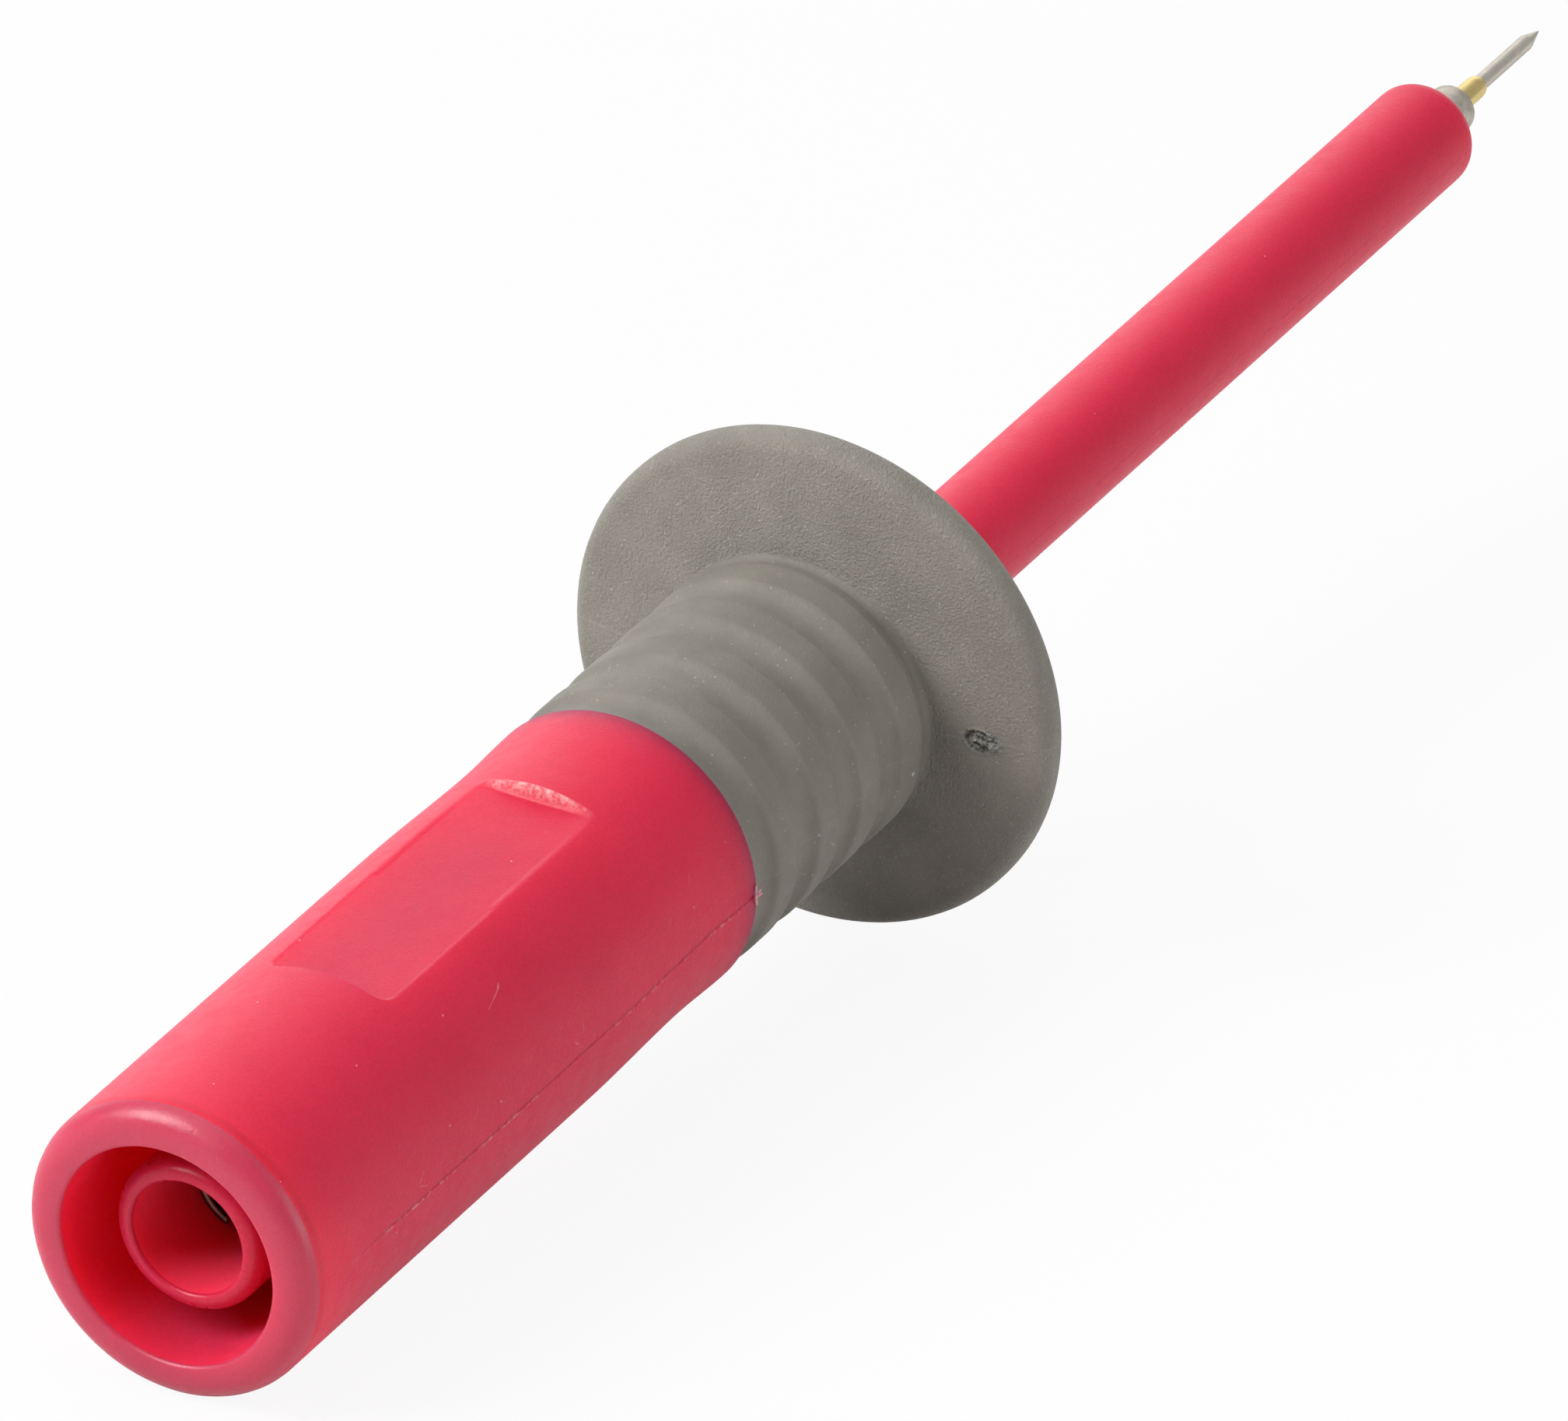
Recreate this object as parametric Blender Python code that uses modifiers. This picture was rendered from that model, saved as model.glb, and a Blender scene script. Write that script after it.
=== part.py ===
"""A spring-tipped test probe for 4 mm safety leads, as an assembly of turned and moulded pieces.

The probe lies as it does when it is put down on a table. The rear edge of its handle and the rim
of its finger guard touch Z = 0, and its nose points towards +X and a little upwards.

Every piece is turned about the probe's own axis, so all of them hang on one empty. The empty's
local Z runs along the probe, from 0 at the handle's rear face to the needle's tip, and its local X
is the side with the pocket, which faces up. An outline below is a list of (place, radius) points:
the place along that axis and the distance from it.
"""

from math import asin, atan2, ceil, cos, hypot, pi, radians, sin, tan

import bmesh
import bpy
from mathutils import Matrix, Vector

MM = 0.001

# Clearances between pieces
MOULD_GAP = 0.10 * MM  # between a moulding and what is pressed into it or moulded over it
PRESS_GAP = 0.02 * MM  # between metal pieces that are pressed together
RUN_GAP = 0.02 * MM  # round the sliding plunger

# Handle, with its shrouded socket at the rear
RECESS_RADIUS = 4.55 * MM  # takes the shroud of a 4 mm safety plug
RECESS_DEPTH = 24.0 * MM
SHROUD_WALL = 1.62 * MM
HANDLE_LENGTH = 33.2 * MM
REAR_EDGE_ROUNDING = 1.0 * MM
MOUTH_EDGE_ROUNDING = 0.3 * MM
WAIST_DEPTH = 0.14 * MM
WAIST_LENGTH = 7.0 * MM
FLARE_DROP = 0.05 * MM  # how much slimmer the handle ends than it is at its middle
FLARE_LENGTH = 3.4 * MM
FRONT_EDGE_ROUNDING = 0.12 * MM

# Flat pocket on top of the handle
POCKET_START = 11.6 * MM
POCKET_LENGTH = 15.8 * MM
POCKET_DEPTH = 0.63 * MM
POCKET_WIDTH = 5.2 * MM  # a little under the chord that the flat cuts from the handle
POCKET_CORNER_ROUNDING = 0.8 * MM

# Handle's core, which carries the soft grip
CORE_WALL = 1.2 * MM
CORE_SETBACK = 0.6 * MM  # from the core's front end to the guard's rear face
CORE_RIB_HEIGHT = 0.35 * MM
CORE_RIB_WIDTH = 1.2 * MM
CORE_RIB_COUNT = 2

# Soft grip and finger guard
GRIP_DROP = 0.11 * MM  # how much slimmer the grip is than the handle
GRIP_LENGTH = 13.9 * MM
GROOVE_COUNT = 4
GROOVE_WIDTH = 1.45 * MM
GROOVE_DEPTH = 0.26 * MM
GROOVE_PITCH = 3.2 * MM
GUARD_HEIGHT = 4.49 * MM  # how far the guard stands out of the grip
RIM_THICKNESS = 1.5 * MM
RIM_LEAD = 0.9 * MM  # how far the rim's rear side stands ahead of the guard's root
GUARD_ROOT_THICKNESS = 3.0 * MM
GUARD_ROOT_ROUNDING = 0.2 * MM
BOSS_LENGTH = 2.9 * MM
BOSS_ROOT_RADIUS = 4.3 * MM
BOSS_END_RADIUS = 3.3 * MM
BOSS_ROUNDING = 0.6 * MM

# Front shaft
SHAFT_RADIUS = 2.275 * MM
SHAFT_REACH = 45.5 * MM  # from the grip's boss to the shaft's front end
SHAFT_END_ROUNDING = 0.9 * MM
ROOT_STEP = 0.95 * MM  # how much thicker the shaft's root is, inside the handle
ROOT_GROOVE_DEPTH = 0.3 * MM
ROOT_GROOVE_WIDTH = 1.5 * MM

# Contact that takes the lead's 4 mm pin
PIN_BORE_RADIUS = 2.0 * MM
PIN_DEPTH = 21.0 * MM
CONTACT_WALL = 0.32 * MM
CONTACT_SETBACK = 5.8 * MM
CONTACT_EDGE_ROUNDING = 0.12 * MM
CONTACT_WEB = 2.2 * MM  # solid metal between the pin's bore and the rod's seat
SEAT_LEAD = 1.1 * MM  # from the bottom of the rod's seat to the contact's collar
CONTACT_COLLAR_STEP = 0.7 * MM
CONTACT_COLLAR_LENGTH = 1.8 * MM
CONTACT_TAIL_LENGTH = 3.1 * MM
CONTACT_TAIL_WALL = 0.75 * MM
SLOT_WIDTH = 0.4 * MM
SLOT_LENGTH = 12.0 * MM
SLOT_TURN = 20.0  # degrees between the slot and the probe's upright plane

# Insulating sleeve round the contact
SLEEVE_WALL = 0.88 * MM
SLEEVE_SETBACK = 1.5 * MM
SLEEVE_FLANGE_THICKNESS = 1.6 * MM
HANDLE_WEB = 4.0 * MM  # handle's inner wall between the contact's collar and the shaft's root

# Spring-loaded tip
NEEDLE_RADIUS = 0.325 * MM
NEEDLE_CONE = 1.15 * MM
NEEDLE_STAY = 1.2 * MM  # what still stands out of the barrel when the needle is pressed in
NEEDLE_POINT_RADIUS = 0.02 * MM
PLUNGER_TRAVEL = 4.0 * MM
HEAD_STEP = 0.055 * MM
HEAD_LENGTH = 2.5 * MM
HEAD_CHAMFER = 0.04 * MM
SPRING_PRESSED_LENGTH = 8.2 * MM
BARREL_WALL = 0.08 * MM
BARREL_REACH = 1.7 * MM
BARREL_LIP = 0.25 * MM  # length of the rolled-in mouth that keeps the plunger in
BARREL_FLOOR = 0.5 * MM
BARREL_SHOULDER = 0.45 * MM  # length of the drawn-in stretch behind the barrel's mouth
BARREL_EDGE = 0.03 * MM  # flat ring round the barrel's mouth
HOLDER_WALL = 0.55 * MM
HOLDER_REACH = 2.4 * MM
HOLDER_WEB = 0.8 * MM
HOLDER_ROUNDING = 0.54 * MM
ROD_SPIGOT_LENGTH = 1.6 * MM
ROD_SPIGOT_RADIUS = 0.58 * MM
ROD_CHAMFER = 0.2 * MM
SPRING_WIRE = 0.12 * MM
SPRING_TURNS = 20
SPRING_SIDE_GAP = 0.04 * MM

# Facets
BODY_STEPS = 44
SHAFT_STEPS = 32
NOSE_STEPS = 24
ROUNDING_STEP = radians(30)  # most turn that one facet of a rounding takes
SPRING_POINTS = 8  # points to a turn of the spring

# Places along the probe, worked out from the sizes above
GUARD_ROOT = HANDLE_LENGTH + GRIP_LENGTH
BOSS_END = GUARD_ROOT + GUARD_ROOT_THICKNESS + BOSS_LENGTH
SHAFT_END = BOSS_END + SHAFT_REACH
HOLDER_END = SHAFT_END + HOLDER_REACH
BARREL_END = HOLDER_END + BARREL_REACH
TIP = BARREL_END + NEEDLE_STAY + PLUNGER_TRAVEL
CORE_END = GUARD_ROOT - CORE_SETBACK
RIM_MIDDLE = GUARD_ROOT + RIM_LEAD + RIM_THICKNESS / 2

PIN_FLOOR = CONTACT_SETBACK + PIN_DEPTH
ROD_START = PIN_FLOOR + CONTACT_WEB
COLLAR_START = ROD_START + SEAT_LEAD
COLLAR_END = COLLAR_START + CONTACT_COLLAR_LENGTH
CONTACT_END = COLLAR_END + CONTACT_TAIL_LENGTH
SLEEVE_END = COLLAR_START - MOULD_GAP
WEB_START = COLLAR_END + MOULD_GAP
SHAFT_START = WEB_START + HANDLE_WEB + MOULD_GAP

HEAD_END = BARREL_END - BARREL_LIP - PRESS_GAP
HEAD_START = HEAD_END - HEAD_LENGTH
SPRING_END = HEAD_START - PRESS_GAP
SPRING_START = SPRING_END - PLUNGER_TRAVEL - SPRING_PRESSED_LENGTH
BARREL_INSIDE = SPRING_START - PRESS_GAP
BARREL_START = BARREL_INSIDE - BARREL_FLOOR
HOLDER_FLOOR = BARREL_START - PRESS_GAP
HOLDER_START = HOLDER_FLOOR - HOLDER_WEB - ROD_SPIGOT_LENGTH

# Outer radii, worked out from the plug's shroud
HANDLE_RADIUS = RECESS_RADIUS + SHROUD_WALL
GRIP_RADIUS = HANDLE_RADIUS - GRIP_DROP
GUARD_RADIUS = GRIP_RADIUS + GUARD_HEIGHT

# Inner radii, worked out from the inside out, so that each piece fits round the next
HEAD_RADIUS = NEEDLE_RADIUS + HEAD_STEP
BARREL_BORE = HEAD_RADIUS + RUN_GAP
BARREL_RADIUS = BARREL_BORE + BARREL_WALL
HOLDER_BORE = BARREL_RADIUS + PRESS_GAP
HOLDER_RADIUS = HOLDER_BORE + HOLDER_WALL
SHAFT_BORE = HOLDER_RADIUS + MOULD_GAP
CONTACT_SEAT = HOLDER_RADIUS + PRESS_GAP
CONTACT_TAIL_RADIUS = CONTACT_SEAT + CONTACT_TAIL_WALL
CONTACT_RADIUS = PIN_BORE_RADIUS + CONTACT_WALL
COLLAR_RADIUS = CONTACT_RADIUS + CONTACT_COLLAR_STEP
SLEEVE_BORE = CONTACT_RADIUS + MOULD_GAP
SLEEVE_RADIUS = SLEEVE_BORE + SLEEVE_WALL
SLEEVE_SEAT = SLEEVE_RADIUS + MOULD_GAP
ROOT_RADIUS = SHAFT_RADIUS + ROOT_STEP
ROOT_SEAT = ROOT_RADIUS + MOULD_GAP
CORE_RADIUS = ROOT_SEAT + CORE_WALL

# A rounding stays within the wall it is on
REAR_ROUNDING = min(REAR_EDGE_ROUNDING, 0.65 * SHROUD_WALL)

CUTTER_MARGIN = 1.0 * MM  # how far a cutter reaches past the surface it opens


def clear_scene():
    for obj in list(bpy.data.objects):
        bpy.data.objects.remove(obj)


def collection(name):
    made = bpy.data.collections.new(name)
    bpy.context.scene.collection.children.link(made)
    return made


def material(name, colour, roughness, metallic=0.0):
    made = bpy.data.materials.new(name)
    made.use_nodes = True
    shader = made.node_tree.nodes["Principled BSDF"]
    shader.inputs["Base Color"].default_value = (*colour, 1.0)
    shader.inputs["Roughness"].default_value = roughness
    shader.inputs["Metallic"].default_value = metallic
    made.diffuse_color = (*colour, 1.0)
    return made


def rounded(corners, closed):
    """An outline through (place, radius, rounding) corners, with an arc at each rounding."""
    points = []
    for i, (place, radius, rounding) in enumerate(corners):
        here = Vector((place, radius))
        at_end = not closed and i in (0, len(corners) - 1)
        if rounding == 0 or at_end:
            points.append(here)
            continue
        back = (Vector(corners[i - 1][:2]) - here).normalized()
        ahead = (Vector(corners[(i + 1) % len(corners)][:2]) - here).normalized()
        half_angle = back.angle(ahead) / 2
        centre = here + (back + ahead).normalized() * (rounding / sin(half_angle))
        reach = rounding / tan(half_angle)
        start_ray = (here + back * reach - centre).normalized()
        end_ray = (here + ahead * reach - centre).normalized()
        pieces = ceil((pi - 2 * half_angle) / ROUNDING_STEP)
        for k in range(pieces + 1):
            points.append(centre + start_ray.slerp(end_ray, k / pieces) * rounding)
    return points


def plain(points):
    """Corners with no rounding, for the smooth stretches that are worked out by a formula."""
    return [(place, radius, 0) for place, radius in points]


def place_on_axis(obj, axis, place):
    obj.parent = axis
    obj.location = (0, 0, place)


def settle(obj):
    """Makes the modifiers' result the object's own mesh, and shades it smooth with crisp edges."""
    evaluated = obj.evaluated_get(bpy.context.evaluated_depsgraph_get())
    mesh = bpy.data.meshes.new_from_object(evaluated)
    obj.modifiers.clear()
    obj.data = mesh
    mesh.shade_smooth()
    mesh.set_sharp_from_angle(angle=radians(35))


def turned(name, outline, steps, axis, group, finish, closed=True):
    """A piece turned from an outline that runs rearwards outside and forwards inside."""
    seat = min(place for place, _ in outline)
    mesh = bpy.data.meshes.new(name)
    profile = bmesh.new()
    points = [profile.verts.new((radius, 0, place - seat)) for place, radius in outline]
    for first, second in zip(points, points[1:]):
        profile.edges.new((first, second))
    if closed:
        profile.edges.new((points[-1], points[0]))
    profile.to_mesh(mesh)
    profile.free()
    obj = bpy.data.objects.new(name, mesh)
    group.objects.link(obj)
    place_on_axis(obj, axis, seat)
    screw = obj.modifiers.new("Turn", "SCREW")
    screw.axis = "Z"
    screw.steps = steps
    screw.render_steps = steps
    screw.use_merge_vertices = True
    screw.merge_threshold = 1e-7
    screw.use_smooth_shade = True
    settle(obj)
    obj.data.materials.append(finish)
    return obj


def cut(obj, cutter):
    boolean = obj.modifiers.new("Cut", "BOOLEAN")
    boolean.operation = "DIFFERENCE"
    boolean.solver = "EXACT"
    boolean.object = cutter
    settle(obj)


def block(name, size, centre, axis, group):
    """A box cutter on the probe's axis frame; size and centre are (up, across, along)."""
    mesh = bpy.data.meshes.new(name)
    cube = bmesh.new()
    bmesh.ops.create_cube(cube, size=1.0)
    bmesh.ops.scale(cube, vec=size, verts=cube.verts)
    cube.to_mesh(mesh)
    cube.free()
    obj = bpy.data.objects.new(name, mesh)
    group.objects.link(obj)
    obj.parent = axis
    obj.location = centre
    obj.hide_render = True
    obj.display_type = "WIRE"
    return obj


def resting_tilt():
    """How far the nose points up when the handle's rear edge and the guard's rim touch the table.

    Both are roundings, so the table is the common tangent below two circles.
    """
    along = RIM_MIDDLE - REAR_ROUNDING
    down = (GUARD_RADIUS - RIM_THICKNESS / 2) - (HANDLE_RADIUS - REAR_ROUNDING)
    return atan2(down, along) + asin((RIM_THICKNESS / 2 - REAR_ROUNDING) / hypot(along, down))


def axis_frame(group):
    """The empty that carries the pieces: the probe's box is centred over the origin, on Z = 0."""
    tilt = resting_tilt()
    up_nose = Vector((cos(tilt), 0, sin(tilt)))
    up_pocket = Vector((-sin(tilt), 0, cos(tilt)))
    edge_circle = HANDLE_RADIUS - REAR_ROUNDING
    rear_end = REAR_ROUNDING * cos(tilt) - edge_circle * sin(tilt) - REAR_ROUNDING
    front_end = TIP * cos(tilt)
    lowest = REAR_ROUNDING * sin(tilt) - edge_circle * cos(tilt) - REAR_ROUNDING
    obj = bpy.data.objects.new("probe_axis", None)
    obj.empty_display_size = HANDLE_RADIUS
    group.objects.link(obj)
    turn = Matrix((up_pocket, up_nose.cross(up_pocket), up_nose)).transposed().to_4x4()
    obj.matrix_world = Matrix.Translation((-(rear_end + front_end) / 2, 0, -lowest)) @ turn
    return obj


def handle_side():
    """The handle's gently waisted side, forward of its rear edge, from the front to the rear."""
    waist_end = HANDLE_LENGTH - FLARE_LENGTH
    waist_start = waist_end - WAIST_LENGTH
    waist_radius = HANDLE_RADIUS - WAIST_DEPTH
    end_radius = HANDLE_RADIUS - FLARE_DROP
    points = []
    for k in range(1, 4):
        share = k / 4
        ease = (1 + cos(pi * share)) / 2
        place = HANDLE_LENGTH - share * FLARE_LENGTH
        points.append((place, waist_radius + (end_radius - waist_radius) * ease))
    for k in range(7):
        share = k / 6
        ease = (1 - cos(pi * share)) / 2
        place = waist_end + share * (waist_start - waist_end)
        points.append((place, waist_radius + WAIST_DEPTH * ease))
    return points


def core_ribs():
    """The middles of the ribs that lock the grip to the core, from the front to the rear."""
    spacing = (CORE_END - HANDLE_LENGTH) / (CORE_RIB_COUNT + 1)
    return [CORE_END - spacing * (k + 1) for k in range(CORE_RIB_COUNT)]


def ribbed(radius, margin):
    """The core's ribbed side, front to rear, or the grip's bore round it with a margin added."""
    points = []
    for middle in core_ribs():
        half = CORE_RIB_WIDTH / 2 + margin
        top = radius + CORE_RIB_HEIGHT + margin
        points.append((middle + half, radius + margin))
        points.append((middle + half, top))
        points.append((middle - half, top))
        points.append((middle - half, radius + margin))
    return points


def handle_body(axis, group, cutters, finish):
    """The rear moulding: handle, socket shroud and the core that the soft grip is moulded over."""
    outside = plain([(CORE_END, CORE_RADIUS)] + ribbed(CORE_RADIUS, 0))
    outside += [
        (HANDLE_LENGTH, CORE_RADIUS, 0),
        (HANDLE_LENGTH, HANDLE_RADIUS - FLARE_DROP, FRONT_EDGE_ROUNDING),
    ]
    outside += plain(handle_side())
    outside += [(0, HANDLE_RADIUS, REAR_ROUNDING)]
    tail_bore = CONTACT_TAIL_RADIUS + MOULD_GAP
    root_floor = WEB_START + HANDLE_WEB
    inside = [(0, RECESS_RADIUS, MOUTH_EDGE_ROUNDING)]
    inside += plain([
        (RECESS_DEPTH, RECESS_RADIUS),
        (RECESS_DEPTH, SLEEVE_SEAT),
        (WEB_START, SLEEVE_SEAT),
        (WEB_START, tail_bore),
        (root_floor, tail_bore),
        (root_floor, ROOT_SEAT),
        (CORE_END, ROOT_SEAT),
    ])
    outline = rounded(outside + inside, closed=True)
    obj = turned("handle_body", outline, BODY_STEPS, axis, group, finish)
    cut(obj, pocket_cutter(axis, cutters))
    return obj


def pocket_cutter(axis, cutters):
    """A block with rounded corners that stands on the pocket's flat floor."""
    height = POCKET_DEPTH + CUTTER_MARGIN
    middle = POCKET_START + POCKET_LENGTH / 2
    size = (height, POCKET_WIDTH, POCKET_LENGTH)
    centre = (HANDLE_RADIUS - POCKET_DEPTH + height / 2, 0, middle)
    cutter = block("pocket_cutter", size, centre, axis, cutters)
    shape = bmesh.new()
    shape.from_mesh(cutter.data)
    corners = [edge for edge in shape.edges if edge.verts[0].co.yz == edge.verts[1].co.yz]
    bmesh.ops.bevel(
        shape, geom=corners, offset=POCKET_CORNER_ROUNDING, segments=4, profile=0.5, affect="EDGES"
    )
    shape.to_mesh(cutter.data)
    shape.free()
    return cutter


def grip_grooves():
    """The grip's side from its guard to its rear end: half a groove, then the whole ones."""
    half = GROOVE_WIDTH / 2
    arc_radius = (half**2 + GROOVE_DEPTH**2) / (2 * GROOVE_DEPTH)
    half_turn = asin(half / arc_radius)
    arc_centre = GRIP_RADIUS + arc_radius - GROOVE_DEPTH
    pieces = 4
    points = []
    for k in reversed(range(GROOVE_COUNT + 1)):
        middle = HANDLE_LENGTH + MOULD_GAP + half + k * GROOVE_PITCH
        first = pieces // 2 if k == GROOVE_COUNT else 0
        for j in range(first, pieces + 1):
            turn = half_turn * (1 - 2 * j / pieces)
            points.append((middle + arc_radius * sin(turn), arc_centre - arc_radius * cos(turn)))
    return points


def grip_guard(axis, group, finish):
    """The soft over-moulding: a grooved sleeve, the round finger guard and a boss on the shaft."""
    rim_rear = GUARD_ROOT + RIM_LEAD
    rim_rounding = 0.49 * RIM_THICKNESS
    rear_end = HANDLE_LENGTH + MOULD_GAP
    guard_front = GUARD_ROOT + GUARD_ROOT_THICKNESS
    shaft_bore = SHAFT_RADIUS + MOULD_GAP
    core_bore = CORE_RADIUS + MOULD_GAP
    core_front = CORE_END + MOULD_GAP
    corners = [
        (BOSS_END, shaft_bore, 0),
        (BOSS_END, BOSS_END_RADIUS, BOSS_ROUNDING),
        (guard_front, BOSS_ROOT_RADIUS, BOSS_ROUNDING),
        (rim_rear + RIM_THICKNESS, GUARD_RADIUS, rim_rounding),
        (rim_rear, GUARD_RADIUS, rim_rounding),
        (GUARD_ROOT, GRIP_RADIUS - GROOVE_DEPTH, GUARD_ROOT_ROUNDING),
    ]
    corners += plain(grip_grooves())
    corners += [(rear_end, core_bore, 0)]
    corners += plain(list(reversed(ribbed(CORE_RADIUS, MOULD_GAP))))
    corners += [(core_front, core_bore, 0), (core_front, shaft_bore, 0)]
    outline = rounded(corners, closed=True)
    return turned("grip_guard", outline, BODY_STEPS, axis, group, finish)


def front_shaft(axis, group, finish):
    """The slim insulated shaft, whose thicker root is pressed into the handle's core."""
    groove = (SHAFT_START + CORE_END) / 2
    half = ROOT_GROOVE_WIDTH / 2
    groove_radius = ROOT_RADIUS - ROOT_GROOVE_DEPTH
    corners = [
        (SHAFT_END, SHAFT_BORE, 0),
        (SHAFT_END, SHAFT_RADIUS, SHAFT_END_ROUNDING),
        (CORE_END, SHAFT_RADIUS, 0),
        (CORE_END, ROOT_RADIUS, 0),
        (groove + half, ROOT_RADIUS, 0),
        (groove + half, groove_radius, 0),
        (groove - half, groove_radius, 0),
        (groove - half, ROOT_RADIUS, 0),
        (SHAFT_START, ROOT_RADIUS, 0),
        (SHAFT_START, SHAFT_BORE, 0),
    ]
    return turned("front_shaft", rounded(corners, True), SHAFT_STEPS, axis, group, finish)


def socket_sleeve(axis, group, finish):
    """The insulating tube round the contact, with a flange that closes the recess's bottom."""
    flange_radius = RECESS_RADIUS - MOULD_GAP
    flange_end = RECESS_DEPTH - MOULD_GAP
    flange_start = flange_end - SLEEVE_FLANGE_THICKNESS
    lip = 0.48 * SLEEVE_WALL
    corners = [
        (SLEEVE_END, SLEEVE_RADIUS, 0),
        (flange_end, SLEEVE_RADIUS, 0),
        (flange_end, flange_radius, 0),
        (flange_start, flange_radius, 0),
        (flange_start, SLEEVE_RADIUS, 0),
        (SLEEVE_SETBACK, SLEEVE_RADIUS, lip),
        (SLEEVE_SETBACK, SLEEVE_BORE, lip),
        (SLEEVE_END, SLEEVE_BORE, 0),
    ]
    return turned("socket_sleeve", rounded(corners, True), SHAFT_STEPS, axis, group, finish)


def socket_contact(axis, group, cutters, finish):
    """The slotted contact for the 4 mm pin, with a collar that stops it and a seat for the rod."""
    corners = [
        (ROD_START, 0, 0),
        (ROD_START, CONTACT_SEAT, 0),
        (CONTACT_END, CONTACT_SEAT, 0),
        (CONTACT_END, CONTACT_TAIL_RADIUS, CONTACT_EDGE_ROUNDING),
        (COLLAR_END, CONTACT_TAIL_RADIUS, 0),
        (COLLAR_END, COLLAR_RADIUS, CONTACT_EDGE_ROUNDING),
        (COLLAR_START, COLLAR_RADIUS, CONTACT_EDGE_ROUNDING),
        (COLLAR_START, CONTACT_RADIUS, 0),
        (CONTACT_SETBACK, CONTACT_RADIUS, CONTACT_EDGE_ROUNDING),
        (CONTACT_SETBACK, PIN_BORE_RADIUS, CONTACT_EDGE_ROUNDING),
        (PIN_FLOOR, PIN_BORE_RADIUS, 0),
        (PIN_FLOOR, 0, 0),
    ]
    outline = rounded(corners, closed=False)
    obj = turned("socket_contact", outline, SHAFT_STEPS, axis, group, finish, closed=False)
    length = SLOT_LENGTH + CUTTER_MARGIN
    size = (2 * CONTACT_RADIUS + CUTTER_MARGIN, SLOT_WIDTH, length)
    centre = (0, 0, CONTACT_SETBACK + SLOT_LENGTH - length / 2)
    cutter = block("slot_cutter", size, centre, axis, cutters)
    cutter.rotation_euler.z = radians(SLOT_TURN)
    cut(obj, cutter)
    return obj


def conductor_rod(axis, group, finish):
    """The rod that carries the current through the shaft, with a spigot in the tip holder."""
    spigot_end = HOLDER_START + ROD_SPIGOT_LENGTH - PRESS_GAP
    rod_end = HOLDER_START - PRESS_GAP
    start = ROD_START + PRESS_GAP
    corners = [
        (spigot_end, 0, 0),
        (spigot_end, ROD_SPIGOT_RADIUS, 0),
        (rod_end, ROD_SPIGOT_RADIUS, 0),
        (rod_end, HOLDER_RADIUS, 0),
        (start + ROD_CHAMFER, HOLDER_RADIUS, 0),
        (start, HOLDER_RADIUS - ROD_CHAMFER, 0),
        (start, 0, 0),
    ]
    outline = rounded(corners, closed=False)
    return turned("conductor_rod", outline, NOSE_STEPS, axis, group, finish, closed=False)


def tip_holder(axis, group, finish):
    """The plated nose collar, bored in front for the probe's barrel and behind for the rod."""
    spigot_seat = ROD_SPIGOT_RADIUS + PRESS_GAP
    seat_end = HOLDER_START + ROD_SPIGOT_LENGTH
    corners = [
        (HOLDER_FLOOR, 0, 0),
        (HOLDER_FLOOR, HOLDER_BORE, 0),
        (HOLDER_END, HOLDER_BORE, 0),
        (HOLDER_END, HOLDER_RADIUS, HOLDER_ROUNDING),
        (HOLDER_START, HOLDER_RADIUS, 0),
        (HOLDER_START, spigot_seat, 0),
        (seat_end, spigot_seat, 0),
        (seat_end, 0, 0),
    ]
    outline = rounded(corners, closed=False)
    return turned("tip_holder", outline, NOSE_STEPS, axis, group, finish, closed=False)


def barrel_shoulder(edge):
    """The barrel's drawn-in front end, from the ring round its mouth back to its full radius."""
    pieces = 4
    points = []
    for k in range(pieces + 1):
        turn = pi / 2 * k / pieces
        place = BARREL_END - BARREL_SHOULDER * (1 - cos(turn))
        points.append((place, edge + (BARREL_RADIUS - edge) * sin(turn)))
    return points


def probe_barrel(axis, group, finish):
    """The gold-plated barrel: closed at the rear, its mouth rolled in round the needle."""
    lip_start = BARREL_END - BARREL_LIP
    mouth = NEEDLE_RADIUS + RUN_GAP
    corners = [
        (BARREL_INSIDE, 0, 0),
        (BARREL_INSIDE, BARREL_BORE, 0),
        (lip_start, BARREL_BORE, 0),
        (lip_start, mouth, 0),
        (BARREL_END, mouth, 0),
    ]
    corners += plain(barrel_shoulder(mouth + BARREL_EDGE))
    corners += [
        (BARREL_START, BARREL_RADIUS, BARREL_WALL),
        (BARREL_START, 0, 0),
    ]
    outline = rounded(corners, closed=False)
    return turned("probe_barrel", outline, NOSE_STEPS, axis, group, finish, closed=False)


def needle_plunger(axis, group, finish):
    """The pointed needle and the head that slides in the barrel."""
    corners = [
        (TIP, 0, 0),
        (TIP, NEEDLE_POINT_RADIUS, 0),
        (TIP - NEEDLE_CONE, NEEDLE_RADIUS, 0),
        (HEAD_END, NEEDLE_RADIUS, 0),
        (HEAD_END, HEAD_RADIUS, 0),
        (HEAD_START + HEAD_CHAMFER, HEAD_RADIUS, 0),
        (HEAD_START, HEAD_RADIUS - HEAD_CHAMFER, 0),
        (HEAD_START, 0, 0),
    ]
    outline = rounded(corners, closed=False)
    return turned("needle_plunger", outline, NOSE_STEPS, axis, group, finish, closed=False)


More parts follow.
